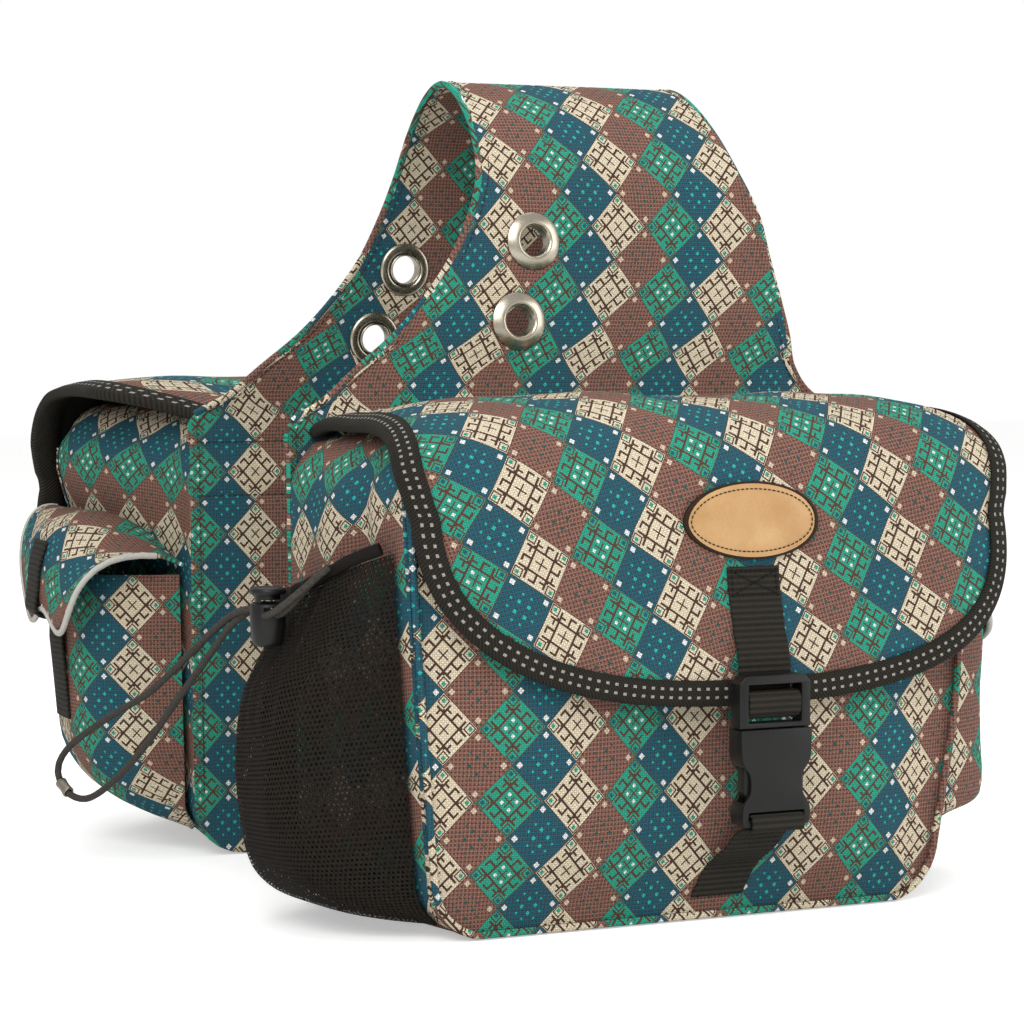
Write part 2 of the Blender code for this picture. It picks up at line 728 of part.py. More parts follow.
def small_piping(name, bag):
    """Piping sewn along the free edge of the small flap."""
    reach = small_piping_radius + small_piping_space
    depth = 0.95 * (depth_at(bag, 1.0) - depth_at(bag, 0.0))
    side = [(0.0, small_run[-1] * 0.50 * k / 3) for k in range(1, 3)]
    lower = [(a * depth, small_flap_reach(a)) for a in pocket_columns(small_flap_columns)]
    edge = side + lower + [(depth, run) for _, run in reversed(side)]
    path = []
    for i, spot in enumerate(edge):
        before = Vector(edge[max(i - 1, 0)])
        after = Vector(edge[min(i + 1, len(edge) - 1)])
        along = (after - before).normalized()
        outer = Vector(spot) + Vector((-along.y, along.x)) * reach
        path.append(small_flap_point(outer.x / depth, outer.y, 0.0, bag))
    return cord_along(name, path, small_piping_radius, grey_piping, resolution=1)


def side_strap(name, bag):
    """Webbing tab from the small flap down onto the pocket, over the flap's piping."""
    over_cloth = (small_flap_thick + webbing_thick) / 2 + strap_space
    over_piping = small_piping_radius + webbing_thick / 2 + strap_space
    on_pocket = (cloth_thick + webbing_thick) / 2 + strap_space
    edge = small_run[-1]
    depth = depth_at(bag, 1.0) - depth_at(bag, 0.0)
    columns = []
    for part in (-1.0, 0.0, 1.0):
        t = side_strap_middle + part * side_strap_half / depth
        a_flap = (t - 0.03) / 0.95
        a_pocket = (t - pocket_depth_span[0]) / (pocket_depth_span[1] - pocket_depth_span[0])
        line = [small_flap_point(a_flap, edge * share, over_cloth, bag) for share in (0.625, 0.75, 0.875)]
        line += [small_flap_point(a_flap, edge + small_piping_radius * share, over_piping, bag)
                 for share in (-1.5, 1.0, 3.0)]
        start = line[-1].z
        for share in (0.22, 0.40, 0.60, 0.80, 1.0):
            z = start + (side_strap_low - start) * share
            wall = pocket_wall(bag, 1, a_pocket, z, max(1.0, pocket_share(bag, z)), bag.pocket_bulge,
                               pocket_depth_span, cloth_thick)
            line.append(turned(wall + Vector((on_pocket, 0.0, 0.0)), bag))
        columns.append(line)
    rows = [list(row) for row in zip(*columns)]
    return cloth_sheet(name, rows, webbing_thick, black_webbing, even=False)


def flap_run_at(bag, x, z):
    """Distance along the flap at which its front face comes down to a height."""
    steps = 400
    return min((abs(flap_point(bag, x, flap_end * k / steps).z - z), flap_end * k / steps)
               for k in range(steps // 2, steps + 1))[1]


def flap_front(bag, x, z):
    """Outer face of the flap at a height, measured from the saddle line of a plain bag."""
    run = flap_run_at(bag, x, z)
    outer = flap_point(bag, x, run) + flap_normal(bag, x, run) * flap_thick / 2
    return -outer.y - bag.depth + plain_depth


def flap_strap(name, bag):
    """Webbing down the flap, behind the frame's top rail and round its middle bar."""
    on_flap = rest_gap + webbing_thick / 2
    path = [(flap_front(bag, strap_x, z) + on_flap, z) for z in (flap_strap_top, 0.1400, 0.1260)]
    turn_room = webbing_thick / 2 + fit_space
    low, high = bar_low - turn_room - 0.0020, bar_high + turn_room + 0.0018
    outer = bar_far + turn_room + 0.0008
    path += [(strap_away, frame_top + 0.0040), (strap_away, bar_high), (strap_away, bar_low - 0.0020),
             (strap_away + 0.0018, low - 0.0004), (bar_far - 0.0016, low - 0.0008), (outer - 0.0008, low + 0.0010),
             (outer, (low + high) / 2), (outer - 0.0008, high - 0.0012), (bar_far - 0.0016, high),
             (bar_near - 0.0006, high - 0.0008), (bar_near - turn_room - 0.0002, bar_high - 0.0022)]
    return ribbon(name, path, webbing_half, black_webbing, bag)


def face_front(bag, x, z):
    """Outer face of the front panel, measured from the saddle line of a plain bag."""
    inset = min(half_width(1.0, z) + cloth_thick / 2 - abs(x), z)
    return back_plane + plain_depth + seam_gap + cloth_thick + panel_swell * smooth(inset / panel_swell_run)


def socket_strap(name, bag):
    """Webbing through the socket's slot and down onto the front panel."""
    middle = (slot_low + slot_high) / 2
    under = socket_bottom - webbing_thick / 2 - fit_space
    front = socket_far + webbing_thick / 2 + fit_space
    behind = socket_near - webbing_thick / 2 - fit_space
    on_face = rest_gap + webbing_thick / 2
    path = [(behind - 0.0014, slot_high + 0.0045), (behind - 0.0010, middle + 0.0012), (socket_near, middle),
            (socket_far - 0.0004, middle), (front - 0.0002, middle - 0.0014), (front + 0.0004, socket_bottom - 0.0002),
            (front - 0.0014, under - 0.0007), (socket_near + 0.0065, under - 0.0006), (behind, under - 0.0032)]
    path += [(behind - 0.0060, 0.0320)]
    path += [(face_front(bag, strap_x, z) + on_face + extra, z) for z, extra in
             ((0.0240, 0.0012), (0.0160, 0.0005), (0.0100, 0.0003))]

    def slant(z):
        return strap_x - strap_slant * max(socket_bottom - 0.0045 - z, 0.0)
    return ribbon(name, path, webbing_half, black_webbing, bag, shift=slant)


def mirrored(values):
    return sorted({round(s * v, 6) for v in values for s in (-1, 1)})


def buckle_plug(name, bag):
    window = buckle_half - rail_width
    x_cuts = [strap_x + x for x in mirrored([window, buckle_half])]
    z_cuts = [frame_bottom, frame_bottom + low_rail, frame_top - high_rail, frame_top]
    frame = block_plate(name, x_cuts, z_cuts, lambda i, j: i != 1 or j != 1, -frame_far, -frame_near,
                        black_plastic)
    bar = prism(name + "_bar_tool",
                [(strap_x - window - 0.001, bar_low), (strap_x + window + 0.001, bar_low),
                 (strap_x + window + 0.001, bar_high), (strap_x - window - 0.001, bar_high)],
                -bar_far, -bar_near, black_plastic)
    prongs = [prism(name + "_arm_tool_" + tag,
                    [(strap_x + side * 0.0095, frame_bottom + 0.001), (strap_x + side * 0.0130, frame_bottom + 0.001),
                     (strap_x + side * 0.0132, arm_tip_height + 0.0190), (strap_x + side * arm_outer, arm_tip_height + 0.0140),
                     (strap_x + side * arm_outer, arm_tip_height + 0.0040), (strap_x + side * 0.0115, arm_tip_height),
                     (strap_x + side * 0.0090, arm_tip_height + 0.0020), (strap_x + side * 0.0100, arm_tip_height + 0.0150)],
                    -arm_far, -arm_near, black_plastic) for tag, side in (("left", -1), ("right", 1))]
    guide = prism(name + "_guide_tool",
                  [(strap_x - 0.0026, frame_bottom + 0.001), (strap_x + 0.0026, frame_bottom + 0.001),
                   (strap_x + 0.0018, guide_tip_height), (strap_x - 0.0018, guide_tip_height)],
                  -arm_far, -arm_near, black_plastic)
    for tool in [bar, guide] + prongs:
        cut(frame, tool, "UNION")
    for made in [frame, bar, guide] + prongs:
        turn_mesh(made, bag)
    return frame


def turn_mesh(made, bag):
    for v in made.data.vertices:
        v.co = turned((v.co.x, v.co.y - bag.depth + plain_depth, v.co.z), bag)


def buckle_socket(name, bag):
    shape = [(0.0, 0.0415), (0.00025, 0.0315), (0.00135, 0.0267), (0.00405, 0.0230), (0.00495, 0.0180),
             (0.00405, 0.0130), (0.00135, 0.0090), (0.00075, 0.0055), (0.00095, 0.0020), (0.00255, 0.0)]
    right = [(buckle_half - inward, socket_bottom + up * socket_height / shape[0][1]) for inward, up in shape]
    outline = [(strap_x + x, z) for x, z in right] + [(strap_x - x, z) for x, z in reversed(right)]
    shell = prism(name, outline, -socket_far, -socket_near, black_plastic)
    cavity = prism(name + "_cavity_tool",
                   [(strap_x - cavity_half, cavity_floor), (strap_x + cavity_half, cavity_floor),
                    (strap_x + cavity_half, socket_top + 0.002), (strap_x - cavity_half, socket_top + 0.002)],
                   -(socket_far - socket_wall), -(socket_near + socket_wall), black_plastic)
    slot = prism(name + "_slot_tool",
                 [(strap_x - slot_half, slot_low), (strap_x + slot_half, slot_low),
                  (strap_x + slot_half, slot_high), (strap_x - slot_half, slot_high)],
                 -(socket_far + 0.002), -(socket_near - 0.002), black_plastic)
    for tool in (cavity, slot):
        cut(shell, tool)
    for made in (shell, cavity, slot):
        turn_mesh(made, bag)
    return shell


def grommet(tag, x, z, side):
    center, normal = yoke_frame(x, z, side)
    across = Vector((1.0, 0.0, 0.0))
    skin = cloth_thick / 2 + 0.0003
    eyelet = [(grommet_hole, skin + 0.0010), (grommet_hole + 0.0012, skin + 0.0022),
              (0.0110, skin + 0.0018), (grommet_flange, skin), (grommet_hole + 0.0008, skin),
              (grommet_hole + 0.0008, -skin - 0.0016), (grommet_hole, -skin - 0.0016)]
    ring_profile("grommet_" + tag, eyelet, center, normal, across, brass)
    washer = [(grommet_cut + 0.0002, -skin), (grommet_flange - 0.0005, -skin),
              (0.0115, -skin - 0.0011), (grommet_cut + 0.0002, -skin - 0.0011)]
    ring_profile("grommet_washer_" + tag, washer, center, normal, across, brass)
    hole = [[center + normal * along + (across * cos(2 * pi * k / grommet_sides)
             + normal.cross(across) * sin(2 * pi * k / grommet_sides)) * grommet_cut
             for k in range(grommet_sides)] for along in (-0.008, 0.008)]
    return loft("grommet_hole_tool_" + tag, hole, brass)


def oval_patch(name, bag):
    """Oval appliqué that follows the flap."""
    x0, z0 = patch_center
    run0 = flap_run_at(bag, x0, z0)
    away = flap_thick / 2 + patch_space
    around = 22
    rings = []
    for layer in (away, away + patch_thick):
        for size in (0.55, 1.0):
            rings.append([flap_side(x0 + patch_half_width * size * cos(2 * pi * k / around),
                                    run0 + patch_half_height * size * sin(2 * pi * k / around), layer, bag)
                          for k in range(around)])
    order = [rings[0], rings[1], rings[3], rings[2]]
    return loft(name, order, leatherette)


strip = yoke()
for tag, spots, side in (("front", front_grommets, -1), ("rear", rear_grommets, 1)):
    for number, (x, z) in enumerate(spots, 1):
        cut(strip, grommet(f"{tag}_{number}", x, z, side))

makers = {
    "gusset": gusset, "face_panel": face_panel, "face_piping": face_piping,
    "flap": flap, "flap_binding": flap_binding, "flap_strap": flap_strap,
    "buckle_plug": buckle_plug, "buckle_socket": buckle_socket, "socket_strap": socket_strap,
    "mesh_pocket": mesh_pocket, "mesh_pocket_hem": mesh_hem,
    "side_pocket": side_pocket, "side_pocket_flap": small_flap,
    "side_flap_piping": small_piping, "side_pocket_strap": side_strap,
}
for bag in bags:
    for piece, make in makers.items():
        make(bag.name + "_" + piece, bag)

oval_patch("front_oval_patch", bags[0])


# Cord lock on the front bag's mesh pocket
lock = Vector((*lock_center, 0.0))
upright = Vector((0.0, 0.0, 1.0))
across = Vector((1.0, 0.0, 0.0))
barrel_top = lock_base_height + barrel_height


def disc(radius, z, sides=20):
    return [lock + Vector((radius * cos(2 * pi * k / sides), radius * sin(2 * pi * k / sides), z))
            for k in range(sides)]


barrel = loft("cord_lock_barrel",
              [disc(bore_radius, lock_base_height + bore_floor), disc(bore_radius, barrel_top),
               disc(barrel_radius - 0.0006, barrel_top), disc(barrel_radius, barrel_top - 0.0008),
               disc(barrel_radius - 0.0012, lock_base_height + 0.0010), disc(barrel_radius - 0.0024, lock_base_height)],
              black_plastic)
cap_low = barrel_top + button_travel + 0.0006
button = loft("cord_lock_button",
              [disc(button_stem_radius - 0.0004, stem_low), disc(button_stem_radius, stem_low + 0.0004),
               disc(button_stem_radius, cap_low), disc(button_head_radius, cap_low),
               disc(button_head_radius, cap_low + button_head_height * 0.6),
               disc(button_head_radius - 0.0012, cap_low + button_head_height)],
              black_plastic)
channel_half = cord_spacing / 2 + cord_radius + 0.0004


def cross_bore(name, low, high, reach):
    return loft(name, [[lock + Vector((x, y, z)) for x, z in
                        ((-channel_half, low), (channel_half, low), (channel_half, high), (-channel_half, high))]
                       for y in (-reach, reach)], black_plastic)


cut(barrel, cross_bore("barrel_bore_tool", cord_height - cord_radius - 0.0005, cord_height + cord_radius + 0.0005, 0.012))
cut(button, cross_bore("button_bore_tool", cord_height - cord_radius - 0.0005,
                       cord_height + cord_radius + button_travel + 0.0005, 0.008))

coil = [lock + Vector((spring_radius * cos(2 * pi * k / 10), spring_radius * sin(2 * pi * k / 10),
                       lock_base_height + bore_floor + 0.0008
                       + (stem_low - lock_base_height - bore_floor - 0.0016) * k / (10 * spring_turns)))
        for k in range(10 * spring_turns + 1)]
cord_along("cord_lock_spring", coil, spring_wire, steel, resolution=1)

half_space = cord_spacing / 2


def cord_end(a):
    """Where a strand leaves the hem, beside it on the outer side."""
    return hem_spot(bags[0], a) - Vector((hem_radius + cord_radius + rest_gap, 0.0, 0.0))


loop = [cord_end(0.80), lock + Vector((-half_space, -0.0110, cord_height)),
        lock + Vector((-half_space, 0.0100, cord_height))]
loop += [Vector(p) for p in cord_run]
loop += [lock + Vector((half_space, 0.0100, cord_height)), lock + Vector((half_space, -0.0110, cord_height)),
         cord_end(0.74)]
cord_along("drawcord", loop, cord_radius, elastic, resolution=2)

# Sleeve that joins the drawcord's two ends, at the far end of its loop
clip_from, clip_to = (Vector(cord_run[knot - 1]) for knot in clip_knots)
clip_axis = (clip_to - clip_from).normalized()
sleeve = [(cord_radius + rest_gap, -clip_length / 2), (cord_radius + rest_gap, clip_length / 2),
          (cord_radius + rest_gap + clip_thick, clip_length / 2 - 0.0006),
          (cord_radius + rest_gap + clip_thick, -clip_length / 2 + 0.0006)]
ring_profile("cord_clip", sleeve, (clip_from + clip_to) / 2, clip_axis, clip_axis.cross(upright).normalized(),
             steel, sides=14)

for made in bpy.context.scene.objects:
    made.location = floor_shift
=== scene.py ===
import bpy
import bmesh
from math import sin, cos, pi, sqrt, radians
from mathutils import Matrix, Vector, noise


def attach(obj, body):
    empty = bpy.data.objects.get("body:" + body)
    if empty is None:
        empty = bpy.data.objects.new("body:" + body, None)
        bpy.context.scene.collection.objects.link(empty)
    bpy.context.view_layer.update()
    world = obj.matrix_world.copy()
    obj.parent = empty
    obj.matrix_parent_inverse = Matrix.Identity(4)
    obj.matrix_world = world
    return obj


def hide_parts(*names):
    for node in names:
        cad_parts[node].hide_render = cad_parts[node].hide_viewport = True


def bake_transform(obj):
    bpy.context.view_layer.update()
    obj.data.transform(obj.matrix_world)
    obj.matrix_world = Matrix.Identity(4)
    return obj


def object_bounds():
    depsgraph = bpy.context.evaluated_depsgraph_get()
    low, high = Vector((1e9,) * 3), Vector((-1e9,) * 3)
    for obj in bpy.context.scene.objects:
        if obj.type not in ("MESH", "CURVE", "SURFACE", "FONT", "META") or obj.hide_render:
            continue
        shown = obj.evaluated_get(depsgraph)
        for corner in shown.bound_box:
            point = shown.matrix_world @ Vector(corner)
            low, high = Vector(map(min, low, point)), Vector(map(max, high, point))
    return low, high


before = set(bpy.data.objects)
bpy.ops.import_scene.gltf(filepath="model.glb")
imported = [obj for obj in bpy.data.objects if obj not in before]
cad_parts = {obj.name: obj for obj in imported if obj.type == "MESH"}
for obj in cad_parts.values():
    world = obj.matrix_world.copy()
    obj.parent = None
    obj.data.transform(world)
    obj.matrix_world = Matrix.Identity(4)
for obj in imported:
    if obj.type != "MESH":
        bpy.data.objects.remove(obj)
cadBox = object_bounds()

# Points are measured from the saddle line, as the bag maker measures them.
# floorShift then puts the origin on the floor under the middle of the whole part.
floorShift = Vector((0.01606, -0.0080, 0.0))
root = "bags"


def placed(p):
    return Vector(p) + floorShift


# sRGB hex to the linear colour that the shaders take
def rgb(code):
    values = [int(code[k:k + 2], 16) / 255 for k in (0, 2, 4)]
    return tuple(c / 12.92 if c <= 0.04045 else ((c + 0.055) / 1.055) ** 2.4 for c in values) + (1.0,)


camera = {"azimuth": -25.2, "elevation": 3.4, "distance": 1.46, "target": (-0.007, 0.0026, 0.168),
          "lens": 105.8, "sensor": 36.0}
# each lamp: place, size in metres, power in watts
lamps = {"keyLight": ((-0.9, -1.5, 1.3), 1.2, 21.0), "fillLight": ((1.6, -1.1, 0.8), 1.3, 12.0),
         "topLight": ((0.0, 0.4, 1.9), 1.5, 12.0)}
studio = {"aim": (0.0, 0.0, 0.15), "world": 0.74, "floor": "f7f7f6", "floorGlow": 0.42, "floorHalf": 6,
          "floorSpace": 0.0004}


def added(name, data):
    made = bpy.data.objects.new(name, data)
    bpy.context.scene.collection.objects.link(made)
    return made


def lookAt(thing, place, target):
    thing.location = place
    thing.rotation_euler = (Vector(target) - Vector(place)).to_track_quat("-Z", "Y").to_euler()


eye = added("camera", bpy.data.cameras.new("camera"))
azimuth, elevation = radians(camera["azimuth"]), radians(camera["elevation"])
target = placed(camera["target"])
lookAt(eye, target + camera["distance"]
       * Vector((sin(azimuth) * cos(elevation), -cos(azimuth) * cos(elevation),
                                                  sin(elevation))), target)
eye.data.lens = camera["lens"]
eye.data.sensor_width = camera["sensor"]
bpy.context.scene.camera = eye

for name, (place, size, power) in lamps.items():
    lamp = bpy.data.lights.new(name, "AREA")
    lamp.shape, lamp.size, lamp.energy = "SQUARE", size, power
    lookAt(added(name, lamp), place, studio["aim"])

# soft light from all round, and plain white where the camera sees past the floor
world = bpy.data.worlds.new("studio")
bpy.context.scene.world = world
world.use_nodes = True
wires, links = world.node_tree.nodes, world.node_tree.links
wires.clear()
worldOut = wires.new("ShaderNodeOutputWorld")
soft, white = wires.new("ShaderNodeBackground"), wires.new("ShaderNodeBackground")
mixed, path = wires.new("ShaderNodeMixShader"), wires.new("ShaderNodeLightPath")
soft.inputs[1].default_value = studio["world"]
white.inputs[0].default_value = (1.0, 1.0, 1.0, 1.0)
white.inputs[1].default_value = 1.0
links.new(path.outputs["Is Camera Ray"], mixed.inputs[0])
links.new(soft.outputs[0], mixed.inputs[1])
links.new(white.outputs[0], mixed.inputs[2])
links.new(mixed.outputs[0], worldOut.inputs[0])
bpy.context.scene.view_settings.view_transform = "Standard"


# A number in a material: adds Math nodes as it is worked with
class Sum:
    tree = None

    def __init__(self, socket):
        self.socket = socket

    @staticmethod
    def of(kind, *parts):
        node = Sum.tree.nodes.new("ShaderNodeMath")
        node.operation = kind
        for slot, part in zip(node.inputs, parts):
            if isinstance(part, Sum):
                Sum.tree.links.new(part.socket, slot)
            else:
                slot.default_value = part
        return Sum(node.outputs[0])

    def __add__(self, other): return Sum.of("ADD", self, other)
    def __sub__(self, other): return Sum.of("SUBTRACT", self, other)
    def __mul__(self, other): return Sum.of("MULTIPLY", self, other)
    def __truediv__(self, other): return Sum.of("DIVIDE", self, other)
    def __lt__(self, other): return Sum.of("LESS_THAN", self, other)
    def __gt__(self, other): return Sum.of("GREATER_THAN", self, other)
    def size(self): return Sum.of("ABSOLUTE", self)
    def wave(self): return Sum.of("SINE", self)
    def part(self): return Sum.of("FRACT", self)
    def less(self): return Sum.of("SUBTRACT", 1.0, self)


def larger(*parts):
    best = parts[0]
    for part in parts[1:]:
        best = Sum.of("MAXIMUM", best, part)
    return best


def smaller(a, b):
    return Sum.of("MINIMUM", a, b)


def band(value, low, high):
    return (value > low) * (value < high)


def newMaterial(name, rough, base="808080", metal=0.0, coat=0.0, gloss=0.5):
    made = bpy.data.materials.new(name)
    made.use_nodes = True
    Sum.tree = made.node_tree
    shader = made.node_tree.nodes["Principled BSDF"]
    for label, value in (("Base Color", rgb(base)), ("Roughness", rough), ("Metallic", metal),
                         ("Coat Weight", coat), ("Specular IOR Level", gloss)):
        shader.inputs[label].default_value = value
    return made, shader


def node(kind, **settings):
    made = Sum.tree.nodes.new(kind)
    for key, value in settings.items():
        setattr(made, key, value)
    return made


# The piece's own cloth coordinates, in metres
def uvPair():
    place = node("ShaderNodeUVMap", uv_map="cloth")
    split = node("ShaderNodeSeparateXYZ")
    Sum.tree.links.new(place.outputs[0], split.inputs[0])
    return Sum(split.outputs[0]), Sum(split.outputs[1])


# Cloudy noise; scale is in spots to the metre, so 1000 gives grains of about 1 mm
def grainAt(scale, detail=2.0, rough=0.5):
    where = node("ShaderNodeTexCoord")
    cloud = node("ShaderNodeTexNoise")
    cloud.inputs["Scale"].default_value = scale
    cloud.inputs["Detail"].default_value = detail
    cloud.inputs["Roughness"].default_value = rough
    Sum.tree.links.new(where.outputs["Object"], cloud.inputs["Vector"])
    return Sum(cloud.outputs[0])


# Mix of two colours; each is a hex code or a socket
def blendColour(share, first, second, kind="MIX"):
    mix = node("ShaderNodeMix", data_type="RGBA", blend_type=kind)
    for slot, part in ((mix.inputs[0], share), (mix.inputs[6], first), (mix.inputs[7], second)):
        if isinstance(part, Sum):
            Sum.tree.links.new(part.socket, slot)
        elif isinstance(part, str):
            slot.default_value = rgb(part)
        elif isinstance(part, float):
            slot.default_value = part
        else:
            Sum.tree.links.new(part, slot)
    return mix.outputs[2]


def grey(value):
    joined = node("ShaderNodeCombineColor")
    for k in range(3):
        Sum.tree.links.new(value.socket, joined.inputs[k])
    return joined.outputs[0]


# Gives the shader its colour, its bump with the depth in metres, and a roughness where that varies
def surfaced(shader, colour, height, strength, depth, rough=None):
    bump = node("ShaderNodeBump")
    bump.inputs["Strength"].default_value = strength
    bump.inputs["Distance"].default_value = depth
    Sum.tree.links.new(height.socket, bump.inputs["Height"])
    Sum.tree.links.new(bump.outputs[0], shader.inputs["Normal"])
    Sum.tree.links.new(colour, shader.inputs["Base Color"])
    if rough is not None:
        Sum.tree.links.new(rough.socket, shader.inputs["Roughness"])


# Height of a plain weave, 0 in the gaps and 1 on the crown of a thread, and which thread lies on top
def weave(u, v, pitch):
    warp, weft = (u * (pi / pitch)).wave(), (v * (pi / pitch)).wave()
    over = (warp * weft) > 0.0
    return warp.size() * over + weft.size() * over.less(), over


# sizes in metres; the diamonds are 29 mm wide and 31 mm tall, the threads 1 mm apart
rug = {"halfWide": 0.01455, "halfTall": 0.0157, "threadPitch": 0.00096, "hatch": 27.0, "cream": "e8dabd",
       "dark": "4d342a", "brown": "966c5e", "brownThread": "64453c", "brownDot": "1f5b58",
       "emerald": "27a58a", "greenFret": "5c4034", "petrol": "166073", "petrolThread": "2f4a55",
       "cyan": "27bdb4", "white": "f4f3ee", "sand": "ddc9b0", "threadTint": "4a3931", "tint": 0.24}


# Coarse polyester with a printed rug pattern: matt, and its 1 mm threads break up the colours.
# Columns of diamonds in four colourways; near and far are shares of half a diamond.
def rugPrint():
    made, shader = newMaterial("rugPrintCloth", 0.85, gloss=0.25)
    u, v = uvPair()
    x, y = u / rug["halfWide"], v / rug["halfTall"]
    alongP, alongQ = x + y, x - y
    i, j = Sum.of("ROUND", alongP * 0.5), Sum.of("ROUND", alongQ * 0.5)
    p, q = alongP - i * 2.0, alongQ - j * 2.0
    column = Sum.of("FLOORED_MODULO", i + j, 4.0)
    ap, aq = p.size(), q.size()
    far, near = larger(ap, aq), smaller(ap, aq)
    pWins = ap > aq
    qWins = pWins.less()
    outSign = Sum.of("SIGN", p) * pWins + Sum.of("SIGN", q) * qWins
    aside = (q * pWins + p * qWins) * outSign
    spread = aside.size()

    # the frets, the box at each corner, its ring, and the seam between diamonds
    vertexBox = (near > 0.60) * (far < 0.94)
    vertexCore = (near > 0.695) * (far < 0.855)
    vertexSmall = (near > 0.67) * (far < 0.87)
    seam = far > 0.972
    fretFoot = band(far, 0.395, 0.485) * (near < 0.49)
    prongs = band(far, 0.45, 0.85) * larger(spread < 0.048, band(spread, 0.395, 0.49))
    hook = band(far, 0.76, 0.85) * band(aside, 0.0, 0.27)
    hookLow = band(far, 0.60, 0.685) * band(aside, -0.43, -0.19)
    cross = (near < 0.030) * (far < 0.28)
    cornerDot = (near > 0.44) * (far < 0.56)
    ring = (near > 0.555) * larger(near < 0.61, far > 0.90) * (far < 0.95)
    lines = larger(fretFoot, prongs, hook, hookLow, cross, cornerDot)
    lines = larger(lines * vertexBox.less(), seam, ring)
    fourDots = band(near, 0.15, 0.28) * (far < 0.28)
    fourSmall = band(near, 0.16, 0.29) * (far < 0.29)
    ringDots = larger(fourSmall, band(far, 0.52, 0.61) * band(near, 0.14, 0.23))
    hatch = ((alongP * rug["hatch"]).wave() * (alongQ * rug["hatch"]).wave()) > 0.12

    # each colourway: its ground, then what is laid over it in turn
    ways = [("cream", ((lines, "dark"), (vertexCore, "emerald"))),
            ("brown", ((hatch, "brownThread"), (ringDots, "brownDot"), (vertexSmall, "sand"))),
            ("emerald", ((lines, "greenFret"), (fourDots, "white"), (vertexCore, "petrol"))),
            ("petrol", ((hatch, "petrolThread"), (larger(fourDots, ringDots), "cyan"),
                        (vertexSmall, "white")))]
    colour = None
    for number, (ground, layers) in enumerate(ways):
        way = rug[ground]
        for share, over in layers:
            way = blendColour(share, way, rug[over])
        colour = blendColour(band(column, number - 0.5, number + 0.5), colour, way) if number else way

    # every other thread on the face is a darker one
    height, over = weave(u, v, rug["threadPitch"])
    fuzz = grainAt(900.0, 3.0)
    colour = blendColour(over * rug["tint"], colour, rug["threadTint"])
    shade = height * 0.62 + 0.47 + (fuzz - 0.5) * 0.34
    shade = shade * (grainAt(9.0, 2.0) * 0.16 + 0.92)
    colour = blendColour(1.0, colour, grey(shade), "MULTIPLY")
    surfaced(shader, colour, height + fuzz * 0.4, 0.55, 0.00035)
    return made


# Black woven nylon tape: dull, its cross ribs and thread crowns painted lighter as a painted highlight; pitch
# of threads and ribs in metres
def tapeMaterial(name, pitch, dashes=None, rib=0.0026, slant=0.0):
    made, shader = newMaterial(name, 0.75, gloss=0.18)
    u, v = uvPair()
    height = weave(u, v, pitch)[0]
    ribs = ((v + u * slant) * (2 * pi / rib)).wave() * 0.5 + 0.5
    fuzz = grainAt(1400.0, 3.0)
    # painted highlight: the colour is lighter on the crowns of the ribs and threads, and the fuzz adds random
    # tone
    colour = blendColour(smaller(height * 0.2 + ribs * 0.5 + fuzz * 0.3, 1.0), "0d0c0a", "3a362e")
    if dashes:
        cell = ((v / dashes["pitch"]).part() - 0.5).size() * dashes["pitch"]
        rows = larger(*[((u - at).size() < dashes["wide"]) * (cell < dashes["long"])
                        for at in dashes["rows"]])
        colour = blendColour(rows, colour, dashes["colour"])
        height = larger(height, rows * 1.6)
    surfaced(shader, colour, height * 0.5 + ribs * 1.4 + fuzz * 0.3, 0.8, 0.0005)
    return made


# Knitted polyester net: black, and its 1 mm holes 2 mm apart let the cloth behind shine through
netPrint = {"pitch": 0.0020, "hole": 0.265, "ragged": 0.14}


def netMaterial():
    made, shader = newMaterial("pocketNet", 0.85, "17130f", gloss=0.15)
    u, v = uvPair()
    row = Sum.of("FLOOR", v / netPrint["pitch"])
    x = (u / netPrint["pitch"] + row * 0.5).part() - 0.5
    y = (v / netPrint["pitch"]).part() - 0.5
    away = Sum.of("SQRT", x * x + y * y)
    fuzz = grainAt(700.0, 2.0)
    hole = (away + (fuzz - 0.5) * netPrint["ragged"]) < netPrint["hole"]
    Sum.tree.links.new(hole.less().socket, shader.inputs["Alpha"])
    surfaced(shader, blendColour(fuzz, "0d0b09", "2c2620"), away + fuzz * 0.3, 0.8, 0.0005)
    return made


# Acetal as it comes from the mould: satin black, cloudy from handling in spots of about 17 mm
def mouldedPlastic():
    base, rough = "0f0e0e", 0.40
    made, shader = newMaterial("blackAcetal", rough, base, gloss=0.35)
    fine, cloudy = grainAt(1800.0, 2.0), grainAt(60.0, 3.0)
    surfaced(shader, blendColour(cloudy, base, "1b1a19"), fine, 0.25, 0.00008,
             Sum.of("MULTIPLY_ADD", cloudy, 0.16, rough - 0.08))
    return made


# Pale grey bias tape over a cord: plain and matt, the brightest line on the small flap
def pipingCloth():
    made, shader = newMaterial("greyPiping", 0.8, gloss=0.2)
    fine, cloudy = grainAt(1500.0, 3.0), grainAt(40.0, 2.0)
    surfaced(shader, blendColour(fine, "a29f97", "d6d3cb"), fine + cloudy, 0.5, 0.0003)
    return made


# Cloth, thread or ink in one colour: matt, with nothing but its grain to see
def plainCloth(name, low, high, scale=1500.0, rough=0.85, detail=3.0, strength=0.6, depth=0.0003):
    made, shader = newMaterial(name, rough, gloss=0.15)
    fine = grainAt(scale, detail)
    surfaced(shader, blendColour(fine, low, high), fine, strength, depth)
    return made


# Coated tan leather: half gloss over 18 mm mottling and 1 mm pores
def tanLeather():
    made, shader = newMaterial("tanLeather", 0.45, coat=0.15)
    cloud, pores = grainAt(55.0, 4.0), grainAt(900.0, 4.0)
    colour = blendColour(cloud, "a9763f", "dcb47c")
    colour = blendColour(pores * 0.25, colour, "7a4f28")
    surfaced(shader, colour, pores + cloud, 0.35, 0.0003, cloud * 0.2 + 0.36)
    return made


